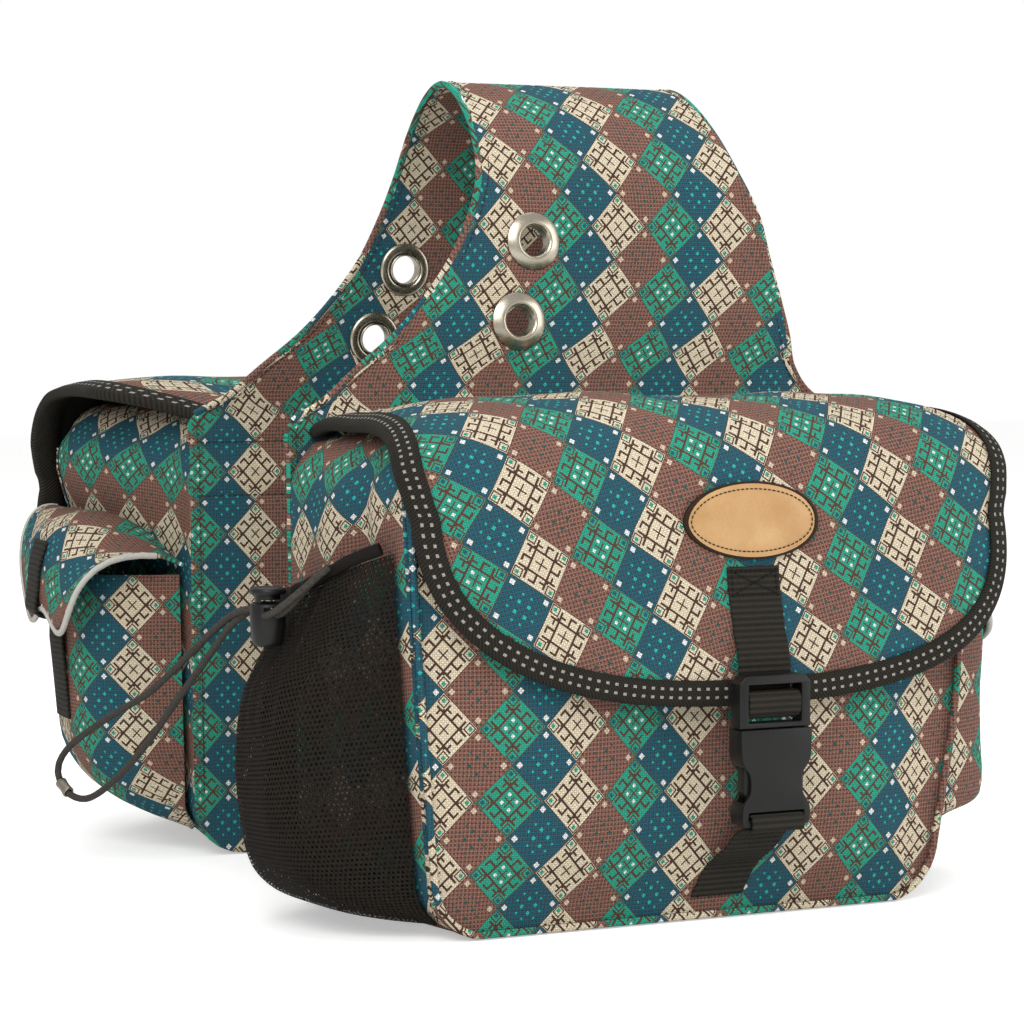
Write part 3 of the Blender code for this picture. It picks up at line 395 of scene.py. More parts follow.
# Plated sheet metal or wire: bright, dulled by 3 mm wear marks
def polishedMetal(name, base, rough):
    made, shader = newMaterial(name, rough, base, metal=1.0)
    fine = grainAt(350.0, 5.0, rough=0.7)
    surfaced(shader, blendColour(grainAt(90.0, 3.0), base, "9c8f76"), fine, 0.12, 0.0001,
             fine * 0.22 + rough - 0.08)
    return made


finish = {
    "print": rugPrint(),
    "tape": tapeMaterial("ribbedWebbing", 0.00075),
    "dashTape": tapeMaterial("dashedBindingTape", 0.00055, rib=0.0017, slant=0.8, dashes={
        "rows": (0.0042, 0.0079), "wide": 0.00060, "long": 0.00082, "pitch": 0.0045, "colour": "a5a197"}),
    "net": netMaterial(),
    "hem": plainCloth("netHem", "0e0c0a", "241f1b", 1200.0),
    "lining": plainCloth("blackLining", "0c0b0a", "1c1a18", 1600.0, 0.9),
    "plastic": mouldedPlastic(),
    "piping": pipingCloth(),
    "leather": tanLeather(),
    "rimLeather": plainCloth("darkEdgeInk", "1c120b", "3a271a", 900.0, 0.5),
    "eyelet": polishedMetal("nickelEyelet", "cfc9bc", 0.24),
    "wire": polishedMetal("springWire", "b8b6b0", 0.3),
    "clip": polishedMetal("cordClip", "8f8d88", 0.42),
    "elastic": plainCloth("elasticCord", "1d1b1a", "57534d", 1100.0, detail=2.0, strength=0.7, depth=0.0004),
    "thread": plainCloth("paleThread", "2a231d", "4a4038", 3000.0, 0.7),
    "darkThread": plainCloth("darkThread", "0e0d0c", "262320", 3000.0, 0.7),
}
lined = (finish["print"], finish["lining"])
print("materials ready:", len(finish))


def smoothed(made):
    for face in made.data.polygons:
        face.use_smooth = True
    return made


# A mesh from points that stand in their final place; coords gives each point its cloth coordinates
def meshFrom(name, spots, faces, coords=None):
    mesh = bpy.data.meshes.new(name)
    mesh.from_pydata([tuple(p) for p in spots], [], faces)
    if coords:
        layer = mesh.uv_layers.new(name="cloth")
        for loop in mesh.loops:
            layer.data[loop.index].uv = coords[loop.vertex_index]
    return mesh


def facedOut(mesh):
    shaped = bmesh.new()
    shaped.from_mesh(mesh)
    bmesh.ops.recalc_face_normals(shaped, faces=shaped.faces)
    shaped.to_mesh(mesh)
    shaped.free()
    return mesh


def finishObject(name, mesh, *materials):
    for surface in materials:
        mesh.materials.append(surface)
    return smoothed(added(name, mesh))


# The piece with its modifiers worked in
def applied(made):
    deps = bpy.context.evaluated_depsgraph_get()
    mesh = bpy.data.meshes.new_from_object(made.evaluated_get(deps), preserve_all_data_layers=True,
                                           depsgraph=deps)
    made.modifiers.clear()
    if made.type == "MESH":
        old = made.data
        made.data = mesh
        bpy.data.meshes.remove(old)
        return made
    name, curve = made.name, made.data
    bpy.data.objects.remove(made)
    bpy.data.curves.remove(curve)
    return added(name, mesh)


def bevelled(made, name, width, segments, angle):
    soft = made.modifiers.new(name, "BEVEL")
    soft.width, soft.segments, soft.limit_method, soft.angle_limit = width, segments, "ANGLE", radians(angle)
    return soft


# Evenly spaced points on a smooth curve through the given ones, of any size
def smoothLine(points, count, fine=12):
    size = len(points[0])
    dense = []
    for k in range(len(points) - 1):
        p0, p1, p2, p3 = points[max(k - 1, 0)], points[k], points[k + 1], points[min(k + 2, len(points) - 1)]
        for step in range(fine):
            s = step / fine
            dense.append(tuple(0.5 * (2 * p1[a] + (p2[a] - p0[a]) * s
                                      + (2 * p0[a] - 5 * p1[a] + 4 * p2[a] - p3[a]) * s * s
                                      + (3 * p1[a] - p0[a] - 3 * p2[a] + p3[a]) * s ** 3)
                               for a in range(size)))
    dense.append(tuple(points[-1]))
    run = [0.0]
    for a, b in zip(dense, dense[1:]):
        run.append(run[-1] + sqrt(sum((b[k] - a[k]) ** 2 for k in range(min(size, 3)))))
    made, k = [], 0
    for step in range(count):
        want = run[-1] * step / (count - 1)
        while k < len(run) - 2 and run[k + 1] < want:
            k += 1
        share = (want - run[k]) / max(run[k + 1] - run[k], 1e-9)
        made.append(tuple(dense[k][a] + (dense[k + 1][a] - dense[k][a]) * share for a in range(size)))
    return made


def lengthOf(line):
    return sum((Vector(q) - Vector(p)).length for p, q in zip(line, line[1:]))


# Flat cloth coordinates of a grid of points, in metres, turned by an angle in degrees
def clothCoords(rows, turn, start=(0.0, 0.0)):
    tall, wide = len(rows), len(rows[0])
    midRow, midCol = tall // 2, wide // 2
    down = [0.0]
    for k in range(1, tall):
        down.append(down[-1] + (rows[k][midCol] - rows[k - 1][midCol]).length)
    flat = []
    c, s = cos(radians(turn)), sin(radians(turn))
    for k in range(tall):
        side = [0.0] * wide
        for m in range(midCol + 1, wide):
            side[m] = side[m - 1] + (rows[k][m] - rows[k][m - 1]).length
        for m in range(midCol - 1, -1, -1):
            side[m] = side[m + 1] - (rows[k][m + 1] - rows[k][m]).length
        rise = down[k] - down[midRow]
        flat.append([((x * c - rise * s) + start[0], (x * s + rise * c) + start[1]) for x in side])
    return flat


# A sewn panel from a grid of points, with cloth coordinates, thickness and a soft edge.
# inside is a point that its lining faces; drop says where the cloth is cut away.
def clothSheet(name, rows, thick, materials, turn=0.0, start=(0.0, 0.0), inside=None, drop=None, flat=None,
               edge=0.4):
    flat = flat or clothCoords(rows, turn, start)
    tall, wide = len(rows), len(rows[0])
    faces = [(k * wide + m, k * wide + m + 1, (k + 1) * wide + m + 1, (k + 1) * wide + m)
             for k in range(tall - 1) for m in range(wide - 1)
             if not (drop and drop((rows[k][m] + rows[k + 1][m + 1]) / 2))]
    mesh = meshFrom(name, [placed(p) for row in rows for p in row], faces,
                    [spot for row in flat for spot in row])
    mesh.update()
    if inside is not None:
        middle = placed(inside)
        if sum((face.center - middle).dot(face.normal) * face.area for face in mesh.polygons) < 0:
            mesh.flip_normals()
    made = finishObject(name, mesh, *materials)
    solid = made.modifiers.new("thickness", "SOLIDIFY")
    solid.thickness, solid.offset, solid.use_even_offset = thick, 0.0, False
    if len(materials) > 1:
        solid.material_offset = 1
    if edge:
        bevelled(made, "softEdge", thick * edge, 2, 55)
    return applied(made)


# A solid through equal closed rings; coords gives each ring point its cloth coordinates
def ringLoft(name, sections, coords, surface, closed=False):
    around, count = len(sections[0]), len(sections)
    faces = [(i * around + j, i * around + (j + 1) % around, ((i + 1) % count) * around + (j + 1) % around,
              ((i + 1) % count) * around + j) for i in range(count if closed else count - 1)
             for j in range(around)]
    if not closed:
        faces += [tuple(range(around)), tuple((count - 1) * around + j for j in reversed(range(around)))]
    spots = [placed(p) for ring in sections for p in ring]
    coords = coords and [spot for ring in coords for spot in ring]
    return finishObject(name, facedOut(meshFrom(name, spots, faces, coords)), surface)


# Rings of a profile of (radius, height) pairs turned about an axis
def turnedRings(center, axis, across, up, profile, count):
    return [[center + axis * along + (across * cos(2 * pi * k / count) + up * sin(2 * pi * k / count))
             * radius
             for radius, along in profile] for k in range(count)]


def ridden(made, slotName, *nodes, body=root):
    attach(made, body)
    if nodes:
        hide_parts(*nodes)
    return made


# Works out the width, height and area that a grid of cloth points was cut to, and keeps none of them
def declareSheet(rows, bag):
    wide = max(sum((q - p).length for p, q in zip(row, row[1:])) for row in rows)
    tall = max(sum((q - p).length for p, q in zip(line, line[1:])) for line in zip(*rows))
    area = sum(((c - a).cross(d - b)).length / 2 for one, two in zip(rows, rows[1:])
               for a, b, c, d in zip(one, one[1:], two[1:], two))
    bag["name"] + "GussetCloth"


# A node tree that builds a mesh along a path: its settings, its nodes with their modes, and the wires
def pathTree(name, settings, nodes, wires):
    tree = bpy.data.node_groups.new(name, "GeometryNodeTree")
    for label, kind in (("Geometry", "Geometry"), *settings):
        tree.interface.new_socket(label, in_out="INPUT", socket_type="NodeSocket" + kind)
    tree.interface.new_socket("Geometry", in_out="OUTPUT", socket_type="NodeSocketGeometry")
    made = {"in": tree.nodes.new("NodeGroupInput"), "out": tree.nodes.new("NodeGroupOutput")}
    for key, kind, modes, values in nodes:
        made[key] = tree.nodes.new(kind)
        for mode, value in modes.items():
            setattr(made[key], mode, value)
        for label, value in values.items():
            made[key].inputs[label].default_value = value
    for source, outlet, goal, inlet in wires:
        tree.links.new(made[source].outputs[outlet], made[goal].inputs[inlet])
    return tree


# Piping, hems and wire: a round section swept along a path
pipeTree = pathTree("pipeAlongPath",
                    (("Radius", "Float"), ("Step", "Float"), ("Sides", "Int"), ("Finish", "Material")), (
    ("resample", "GeometryNodeResampleCurve", {"mode": "LENGTH"}, {}),
    ("circle", "GeometryNodeCurvePrimitiveCircle", {}, {}),
    ("sweep", "GeometryNodeCurveToMesh", {}, {"Fill Caps": True}),
    ("real", "GeometryNodeRealizeInstances", {}, {}),
    ("paint", "GeometryNodeSetMaterial", {}, {})), (
    ("in", "Geometry", "resample", "Curve"), ("in", "Step", "resample", "Length"),
    ("in", "Radius", "circle", "Radius"), ("in", "Sides", "circle", "Resolution"),
    ("resample", 0, "sweep", "Curve"), ("circle", 0, "sweep", "Profile Curve"), ("sweep", 0, "real", 0),
    ("real", 0, "paint", "Geometry"), ("in", "Finish", "paint", "Material"), ("paint", 0, "out", 0)))

# Stitches: short rounded threads laid end to end along a path, a little apart
stitchTree = pathTree("stitchRow",
                      (("Pitch", "Float"), ("Long", "Float"), ("Radius", "Float"), ("Finish", "Material")), (
    ("points", "GeometryNodeCurveToPoints", {"mode": "LENGTH"}, {}),
    ("thread", "GeometryNodeMeshUVSphere", {}, {"Segments": 6, "Rings": 5, "Radius": 1.0}),
    ("align", "FunctionNodeAlignRotationToVector", {"axis": "Z"}, {}),
    ("onto", "GeometryNodeInstanceOnPoints", {}, {}),
    ("real", "GeometryNodeRealizeInstances", {}, {}),
    ("paint", "GeometryNodeSetMaterial", {}, {}),
    ("smooth", "GeometryNodeSetShadeSmooth", {}, {}),
    ("stretch", "ShaderNodeCombineXYZ", {}, {})), (
    ("in", "Geometry", "points", "Curve"), ("in", "Pitch", "points", "Length"),
    ("points", "Points", "onto", "Points"), ("points", "Tangent", "align", "Vector"),
    ("align", 0, "onto", "Rotation"), ("thread", "Mesh", "onto", "Instance"), ("in", "Radius", "stretch", 0),
    ("in", "Radius", "stretch", 1), ("in", "Long", "stretch", 2), ("stretch", 0, "onto", "Scale"),
    ("onto", 0, "real", 0), ("real", 0, "smooth", 0), ("smooth", 0, "paint", "Geometry"),
    ("in", "Finish", "paint", "Material"), ("paint", 0, "out", 0)))


# Runs a node tree over one or more paths and keeps the result as a mesh
def alongPaths(name, paths, tree, settings, closed=False):
    curve = bpy.data.curves.new(name, "CURVE")
    curve.dimensions = "3D"
    for points in paths:
        line = curve.splines.new("POLY")
        line.points.add(len(points) - 1)
        for knot, p in zip(line.points, points):
            knot.co = (*placed(p), 1.0)
        line.use_cyclic_u = closed
    made = added(name, curve)
    step = made.modifiers.new("build", "NODES")
    step.node_group = tree
    for item in tree.interface.items_tree:
        if item.in_out == "INPUT" and item.name in settings:
            step[item.identifier] = settings[item.name]
    return smoothed(applied(made))


def pipe(name, points, radius, surface, step=0.002, sides=12):
    return alongPaths(name, [points], pipeTree,
                      {"Radius": radius, "Step": step, "Sides": sides, "Finish": surface})


# Cloth coordinates of a swept piece, from where each point lies
def mapped(made, place):
    layer = made.data.uv_layers.new(name="cloth")
    for corner in made.data.loops:
        layer.data[corner.index].uv = place(made.data.vertices[corner.vertex_index].co)


def stitches(name, paths, surface, pitch=0.0034, long=0.0013, radius=0.00032, closed=False):
    made = alongPaths(name, paths, stitchTree,
                      {"Pitch": pitch, "Long": long, "Radius": radius, "Finish": surface},
                      closed)
    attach(made, root)


# Soft unevenness of filled cloth
def bumpy(p, scale, amount, seed=0.0):
    return noise.noise(Vector(p) * scale + Vector((seed, seed * 0.7, -seed))) * amount


def eased(share):
    share = min(max(share, 0.0), 1.0)
    return share * share * (3 - 2 * share)


# The two bags are cut from the same pattern pieces; the rear one is turned half round about
# the saddle line. shoulder and footTuck say how far its right side leans out and in.
bags = [
    {"name": "front", "turn": 1, "depth": 0.106, "shoulder": -0.0060, "footTuck": 0.0090,
     "pocketFoot": 0.0330, "pocketBulge": 0.0195,
     "pocketProfile": [(0.0, 0.0), (0.03, 0.55), (0.07, 1.12), (0.16, 1.20), (0.35, 1.08),
                       (0.60, 1.0), (0.80, 1.0), (1.0, 0.97)],
     "smallFlapOut": 0.0236, "smallDrop": 0.010, "smallTuck": 0.4, "puff": 1.0,
     "flare": 0.0, "lift": 0.0},
    {"name": "rear", "turn": -1, "depth": 0.122, "shoulder": 0.0420, "footTuck": 0.0,
     "pocketFoot": 0.0120, "pocketBulge": 0.0460,
     "pocketProfile": [(0.0, 0.0), (0.05, 0.35), (0.15, 0.75), (0.30, 0.97), (0.50, 1.0),
                       (0.75, 1.0), (1.0, 0.97)],
     "smallFlapOut": 0.0590, "smallDrop": 0.018, "smallTuck": 0.0, "puff": 1.7,
     "flare": 0.0360, "lift": 0.0110},
]
b = {"backPlane": 0.066, "plainDepth": 0.106, "cloth": 0.0024, "seam": 0.0006, "corner": 0.026,
     "backLow": 0.1460, "backHigh": 0.1480, "frontLow": 0.1245, "frontHigh": 0.1400, "widening": 0.8,
     "mouthBack": 0.2045, "mouthFront": 0.2045, "tuck": 0.0100, "tuckHeight": 0.0200, "swell": 0.0050,
     "shoulderLow": 0.0300, "shoulderRise": 0.1900, "footRise": 0.1100, "panelHeight": 0.2015,
     "panelSwell": 0.0100, "swellRun": 0.0500, "pipingRadius": 0.0016}
half = b["cloth"] / 2


def turned(p, bag):
    return Vector((p[0] * bag["turn"], p[1] * bag["turn"], p[2]))


def insideOf(bag, share=0.5):
    return turned((0, -b["backPlane"] - bag["depth"] * share, 0.1), bag)


# A bell of height 1 at the middle
def hump(away, wide):
    return pow(2.718, -(away / wide) ** 2)


# Half the width of a bag, t of the way from its back to its front
def halfWidth(t, z):
    low = b["backLow"] + (b["frontLow"] - b["backLow"]) * t
    high = b["backHigh"] + (b["frontHigh"] - b["backHigh"]) * t
    width = low + (high - low) * (max(z, b["corner"]) / b["mouthBack"]) ** b["widening"]
    if z < b["corner"]:
        dip, reach = b["corner"] - max(z, half), b["corner"] - half
        width += sqrt(max(reach ** 2 - dip ** 2, 0.0)) - reach
    rim = b["mouthBack"] + (b["mouthFront"] - b["mouthBack"]) * t
    return width - b["tuck"] * (max(0.0, z - (rim - b["tuckHeight"])) / b["tuckHeight"]) ** 2


def swell(t, z):
    return b["swell"] * sin(pi * t) ** 2 * sin(pi * min(z / b["mouthBack"], 1.0))


# How far the right side leans out at the top and in at the foot
def leanOut(bag, t, z):
    top = bag["shoulder"] * eased((z - b["shoulderLow"]) / b["shoulderRise"])
    return eased(t) * (top - bag["footTuck"] * (1 - eased(z / b["footRise"])))


def depthAt(bag, t):
    inner = b["backPlane"] + half + b["seam"]
    return inner + (b["backPlane"] + bag["depth"] - inner) * t


# Shares from -1 to 1 that lie closer together at both ends
def rounded(count):
    return [sin(pi / 2 * (2 * k / count - 1)) for k in range(count + 1)]


def cornerHeights(steps):
    reach = b["corner"] - half
    return [b["corner"] - reach * cos(pi / 2 * k / steps) for k in range(steps + 1)]


# fold: place along the side, width, depth; rollIn: how far in and up the top goes
gussetSize = {"columns": 24, "cornerSteps": 8, "wallSteps": 34, "foldFrom": 0.120, "foldRun": 0.030,
              "rimRun": 0.012, "foldDeep": 0.0045, "folds": ((0.66, 0.085, 1.0), (0.28, 0.12, 0.4)),
              "puffOut": 0.0030, "puffShare": 0.6, "uneven": 0.0022, "rollShare": 0.35,
              "rollIn": ((0.0020, 0.0020), (0.0055, 0.0042), (0.0110, 0.0062), (0.0200, 0.0078))}


# Sides and floor of a bag in one strip; above the net the cloth is drawn into folds
def gusset(bag):
    g = gussetSize
    rows = []
    for i in range(g["columns"] + 1):
        t = i / g["columns"]
        rim = b["mouthBack"] + (b["mouthFront"] - b["mouthBack"]) * t
        heights = cornerHeights(g["cornerSteps"]) + [b["corner"] + (rim - b["corner"]) * k / g["wallSteps"]
                                                     for k in range(1, g["wallSteps"] + 1)]
        right = []
        for side in (1, -1):
            line = []
            for z in heights:
                x = halfWidth(t, z) + swell(t, z)
                up = eased((z - g["foldFrom"]) / g["foldRun"]) * eased((rim - z) / g["rimRun"])
                if side < 0:
                    x -= g["foldDeep"] * up * sum(deep * hump(t - at, wide) for at, wide, deep in g["folds"])
                    x += g["puffOut"] * up * sin(pi * min(t / g["puffShare"], 1.0))
                x += up * bumpy((side, t * 2.0, z * 14), 1.6, g["uneven"], 3.0) * sin(pi * t)
                if side > 0:
                    x += leanOut(bag, t, z)
                line.append((side * x, z))
            # the top rolls in over what fills the bag
            for inward, rise in g["rollIn"]:
                line.append((side * (x - inward),
                             rim + rise * bag["puff"] * (0.5 + 0.5 * eased(t / g["rollShare"]))))
            right.append(line)
        near, far = right[1][0][0], right[0][0][0]
        floor = [(near + (far - near) * k / g["columns"], half) for k in range(1, g["columns"])]
        loop = list(reversed(right[1])) + floor + right[0]
        rows.append([turned((x, -depthAt(bag, t), z), bag) for x, z in loop])
    made = clothSheet(bag["name"] + "GussetCloth", rows, b["cloth"], lined,
                      inside=insideOf(bag), start=(0.004, 0.006))
    return ridden(made, "printed_cloth", bag["name"] + "_gusset")


# uneven: how many bumps to the metre, their depth, the run in from the edge
panelSize = {"cornerSteps": 10, "wallSteps": 44, "columns": 64,
             "uneven": ((17.0, 0.0034, 0.03), (45.0, 0.0007, 0.02))}


# Front panel, puffed by what is inside and a little uneven
def facePanel(bag):
    top, many, steps = b["panelHeight"], panelSize["columns"], panelSize["wallSteps"]
    (wide, deep, wideRun), (fine, shallow, fineRun) = panelSize["uneven"]
    heights = [z - half + 0.0001 for z in cornerHeights(panelSize["cornerSteps"])]
    heights += [b["corner"] + (top - b["corner"]) * k / steps for k in range(1, steps + 1)]
    rows = []
    for z in heights:
        width = halfWidth(1.0, z + half) + half
        out = leanOut(bag, 1.0, z + half)
        row = []
        for share in rounded(many):
            x = width * share + out * (1 + share) / 2
            inset = min((width + out / 2) * (1 - abs(share)), z)
            lift = b["panelSwell"] * eased(inset / b["swellRun"])
            lift += bumpy((x, 0, z), wide, deep, 1.7 * bag["turn"]) * eased(inset / wideRun)
            lift += bumpy((x, 0, z), fine, shallow, 5.0) * eased(inset / fineRun)
            row.append(turned((x, -(b["backPlane"] + bag["depth"] + b["seam"] + half + lift), z), bag))
        rows.append(row)
    made = clothSheet(bag["name"] + "PanelCloth", rows, b["cloth"], lined,
                      inside=insideOf(bag, 0), start=(0.0065, 0.004))
    return ridden(made, "printed_cloth", bag["name"] + "_face_panel")


def facePiping(bag):
    r = b["pipingRadius"]
    away = b["backPlane"] + bag["depth"] + b["seam"] + b["cloth"] + 0.0005 + r
    heights = [z + r - half + 0.0002 for z in cornerHeights(10)]
    heights += [b["corner"] + (b["panelHeight"] - 0.006 - b["corner"]) * k / 16 for k in range(1, 17)]
    right = [(halfWidth(1.0, z) + half - r, z) for z in heights]
    loop = [(-x, z) for x, z in reversed(right)] + [(0.0, heights[0])]
    loop += [(x + leanOut(bag, 1.0, z), z) for x, z in right]
    made = pipe(bag["name"] + "PanelPiping", [turned((x, -away, z), bag) for x, z in loop], r,
                finish["print"])
    middle = heights[0] + b["panelHeight"] / 2
    mapped(made, lambda p: ((p - floorShift).x * bag["turn"] + 0.0065, (p - floorShift).z - middle + 0.004))
    return ridden(made, "grey_piping", bag["name"] + "_face_piping")


# Yoke: both back panels and the arch over the saddle, cut from one strip
# stations: height, distance from the saddle line, left edge, right edge
yk = {"seams": (0.2020, 0.1760), "seamWide": 0.0032, "quilt": 0.0024, "uneven": 0.0016,
      "flatRound": 0.014, "roll": 0.0017, "rollLow": 0.2150, "hinge": 0.2130, "archFrom": 0.3105,
      "columns": 48, "rows": 420, "stitchIn": 0.0042, "stations": [(0.2240, 0.0630, -0.1310, 0.1230),
      (0.2380, 0.0605, -0.1140, 0.1125), (0.2540, 0.0591, -0.0940, 0.1100),
      (0.2710, 0.0576, -0.0780, 0.1060), (0.2900, 0.0560, -0.0640, 0.1010),
      (0.3105, 0.0542, -0.0540, 0.0960), (0.3300, 0.0490, -0.0480, 0.0880),
      (0.3510, 0.0360, -0.0460, 0.0815), (0.3665, 0.0185, -0.0455, 0.0770)],
      "crest": (0.3725, 0.0, -0.0455, 0.0755)}
eyeletSize = {"front": [(-0.0240, 0.2970), (-0.0330, 0.2600)],
              "rear": [(-0.0410, 0.2860), (-0.0560, 0.2520)], "hole": 0.0069, "flange": 0.0135,
              "cut": 0.0092}


def yokeHalf():
    stations = []
    for z in cornerHeights(6) + [0.050, 0.075, 0.100, 0.125, 0.150, 0.175, 0.195]:
        width = halfWidth(0.0, min(z, b["mouthBack"] - b["tuckHeight"])) + half
        stations.append((z - half + 0.0002 if z < b["corner"] else z, b["backPlane"], -width, width))
    stations.append((yk["hinge"], b["backPlane"], -stations[-1][3], stations[-1][3]))
    return stations + yk["stations"]


def yokeFrame(x, z, side):
    stations = yokeHalf() + [yk["crest"]]
    for low, high in zip(stations, stations[1:]):
        if low[0] <= z <= high[0]:
            share = (z - low[0]) / (high[0] - low[0])
            y = low[1] + (high[1] - low[1]) * share
            return (Vector((x, side * y, z)),
                    Vector((0, side * (high[0] - low[0]), low[1] - high[1])).normalized())


def yokeLine():
    crest = yk["crest"]
    front = [(-y, z, left, right) for z, y, left, right in yokeHalf()]
    line = front + [(0.0, crest[0], crest[2], crest[3])]
    line += [(-y, z, left, right) for y, z, left, right in reversed(front)]
    corner = 7  # the rounded bottom corners keep their own spacing
    return line[:corner] + smoothLine(line[corner - 1:len(line) - corner + 1],
                                      yk["rows"])[1:-1] + line[len(line) - corner:]


def yoke():
    spots = [yokeFrame(x, z, side)[0] for name, side in (("front", -1), ("rear", 1))
             for x, z in eyeletSize[name]]
    rows, line, many = [], yokeLine(), yk["columns"]
    for y, z, left, right in line:
        row = []
        for k in range(many + 1):
            share = 0.5 - 0.5 * cos(pi * k / many) if min(k, many - k) < 2 else k / many
            x = left + (right - left) * share
            lift = bumpy((x, y * 2, z), 13.0, yk["uneven"], 2.0) * eased((z - 0.235) / 0.03)
            lift *= eased((0.36 - abs(z)) / 0.02 + 1)
            near = min((Vector((x, y, z)) - s).length for s in spots)
            lift *= eased((near - yk["flatRound"]) / 0.02)
            groove = max(hump(z - seam, yk["seamWide"]) for seam in yk["seams"])
            quilted = eased((z - 0.150) / 0.02) * eased((0.222 - z) / 0.012) * sin(pi * k / many)
            lift -= yk["quilt"] * (1 - groove) * quilted
            out = Vector((0, 1 if y > 0 else -1, 0))
            if z > yk["archFrom"]:
                out = Vector((0, y, max(z - 0.30, 0.0) + 1e-6)).normalized()
            row.append(Vector((x, y, z)) + out * lift)
        rows.append(row)
    made = clothSheet("yokeCloth", rows, b["cloth"], (finish["print"],), inside=(0.0, 0.0, 0.2), edge=0.45,
                      drop=lambda p: min((p - s).length for s in spots) < eyeletSize["cut"],
                      start=(0.0, 0.002))
    edges = []
    for side in (1, -1):
        for layer in (1, -1):
            path = []
            for k, (y, z, left, right) in enumerate(line):
                ahead, back = line[min(k + 1, len(line) - 1)], line[max(k - 1, 0)]
                along = Vector((0, ahead[0] - back[0], ahead[1] - back[1])).normalized()
                normal = Vector((0, -along.z, along.y))
                if z > 0.03:
                    x = right - yk["stitchIn"] if side > 0 else left + yk["stitchIn"]
                    path.append(Vector((x, y, z)) + normal * layer * (half + 0.00022))
            edges.append(path)
    for side, sign in (("front", 1), ("rear", -1)):
        for z in yk["seams"]:
            width = halfWidth(0.0, min(z, 0.18)) - 0.004
            y = sign * (b["backPlane"] - half - 0.0003)
            edges.append([Vector((width * (k / 20 - 1), -y, z)) for k in range(41)])
    stitches("yokeStitching", edges, finish["thread"])
    # the edges are turned over and rolled
    for tag, column in (("Right", 3), ("Left", 2)):
        path = [Vector((spot[column], spot[0], spot[1])) for spot in line if spot[1] > yk["rollLow"]]
        roll = pipe("yokeRoll" + tag, path, yk["roll"], finish["print"])
        mapped(roll, lambda p: (p.x, p.z + abs(p.y) * 0.5))
        ridden(roll, "printed_cloth")
    return ridden(made, "printed_cloth", "yoke")


# Flap
# rise: distance from the saddle line, height, half width; drop is the part that hangs
f = {"rise": [(0.0676, 0.2145, 0.1400), (0.0850, 0.2205, 0.1415), (0.1100, 0.2245, 0.1435),
     (0.1400, 0.2255, 0.1450), (0.1640, 0.2225, 0.1470), (0.1810, 0.2140, 0.1490),
     (0.1905, 0.2010, 0.1495), (0.1948, 0.1860, 0.1470), (0.1956, 0.1740, 0.1445)],
     "drop": [(0.1952, 0.1450), (0.1945, 0.1200), (0.1940, 0.0950)], "thick": 0.0020, "roundPower": 2.5,
     "aside": 0.0040, "lean": 0.0090, "sag": 3.9, "flatHalf": 0.0900, "flareRun": 0.0500,
     "topRun": 0.1000, "quietAt": 0.018, "rippleDeep": 0.0030, "fineDeep": 0.0008, "tapeWide": 0.0115,
     "tapeThick": 0.0009, "tapeSpace": 0.0008, "printTurn": 11.5}
flapLine = smoothLine([(y, z, h) for y, z, h in f["rise"]] + [(y, z, f["rise"][-1][2]) for y, z in f["drop"]],
                      240)
flapRun = [0.0]
for one, two in zip(flapLine, flapLine[1:]):
    flapRun.append(flapRun[-1] + sqrt((two[0] - one[0]) ** 2 + (two[1] - one[1]) ** 2))
flapEnd = flapRun[-1]
flapStraight = next(r for r, p in zip(flapRun, flapLine) if p[1] < 0.1742 and p[0] > 0.19)


def flapAt(run):
    run = min(max(run, 0.0), flapEnd)
    k = min(int(run / flapEnd * (len(flapLine) - 1)), len(flapLine) - 2)
    share = (run - flapRun[k]) / (flapRun[k + 1] - flapRun[k])
    one, two = flapLine[k], flapLine[k + 1]
    before, after = flapLine[max(k - 1, 0)], flapLine[min(k + 2, len(flapLine) - 1)]
    along = Vector((after[0] - before[0], after[1] - before[1])).normalized()
    here = Vector((one[0] + (two[0] - one[0]) * share, one[1] + (two[1] - one[1]) * share))
    return here, Vector((-along.y, along.x)), one[2] + (two[2] - one[2]) * share


def flapPoint(bag, x, run):
    here, normal, _ = flapAt(run)
    run = min(max(run, 0.0), flapEnd)
    spread = eased(run / f["flareRun"])
    droop = f["sag"] * (0.5 + 0.5 * spread)
    here = here - normal * droop * max(abs(x) - f["flatHalf"], 0.0) ** 2
    lean = max(run - flapStraight, 0.0) / (flapEnd - flapStraight)
    over = max(x, 0.0) / f["rise"][-1][2]
    wide = x + f["aside"] * spread + f["lean"] * sin(pi / 2 * lean)
    wide += bag["flare"] * over * spread
    lifted = bag["lift"] * over * spread * (1 - eased((run - f["topRun"]) / f["flareRun"]))
    ahead = (bag["depth"] - b["plainDepth"]) * eased(run / f["topRun"])
    return Vector((wide, -here.x - ahead, here.y + lifted))


def flapNormal(bag, x, run):
    step = 0.0015
    across = flapPoint(bag, x + step, run) - flapPoint(bag, x - step, run)
    along = flapPoint(bag, x, min(run + step, flapEnd)) - flapPoint(bag, x, max(run - step, 0.0))
    return along.cross(across).normalized()


def flapReach(share, inset=0.0):
    drop = (flapEnd - inset) - flapStraight
    return flapStraight + drop * max(1 - abs(share) ** f["roundPower"], 0.0) ** (1 / f["roundPower"])


# Unevenness of the filled bag under the flap, none along its tape and strap
def flapRipple(bag, x, run):
    quiet = eased((abs(x - f["quietAt"]) - 0.016) / 0.03) * eased((0.145 - abs(x)) / 0.03) * eased(run / 0.03)
    quiet *= eased((flapEnd - run) / 0.05)
    ripple = (bumpy((x, run, 0), 15.0, f["rippleDeep"], 4.0 * bag["turn"])
              + bumpy((x, run, 0), 38.0, f["fineDeep"], 7.0))
    return ripple * quiet + 0.0002


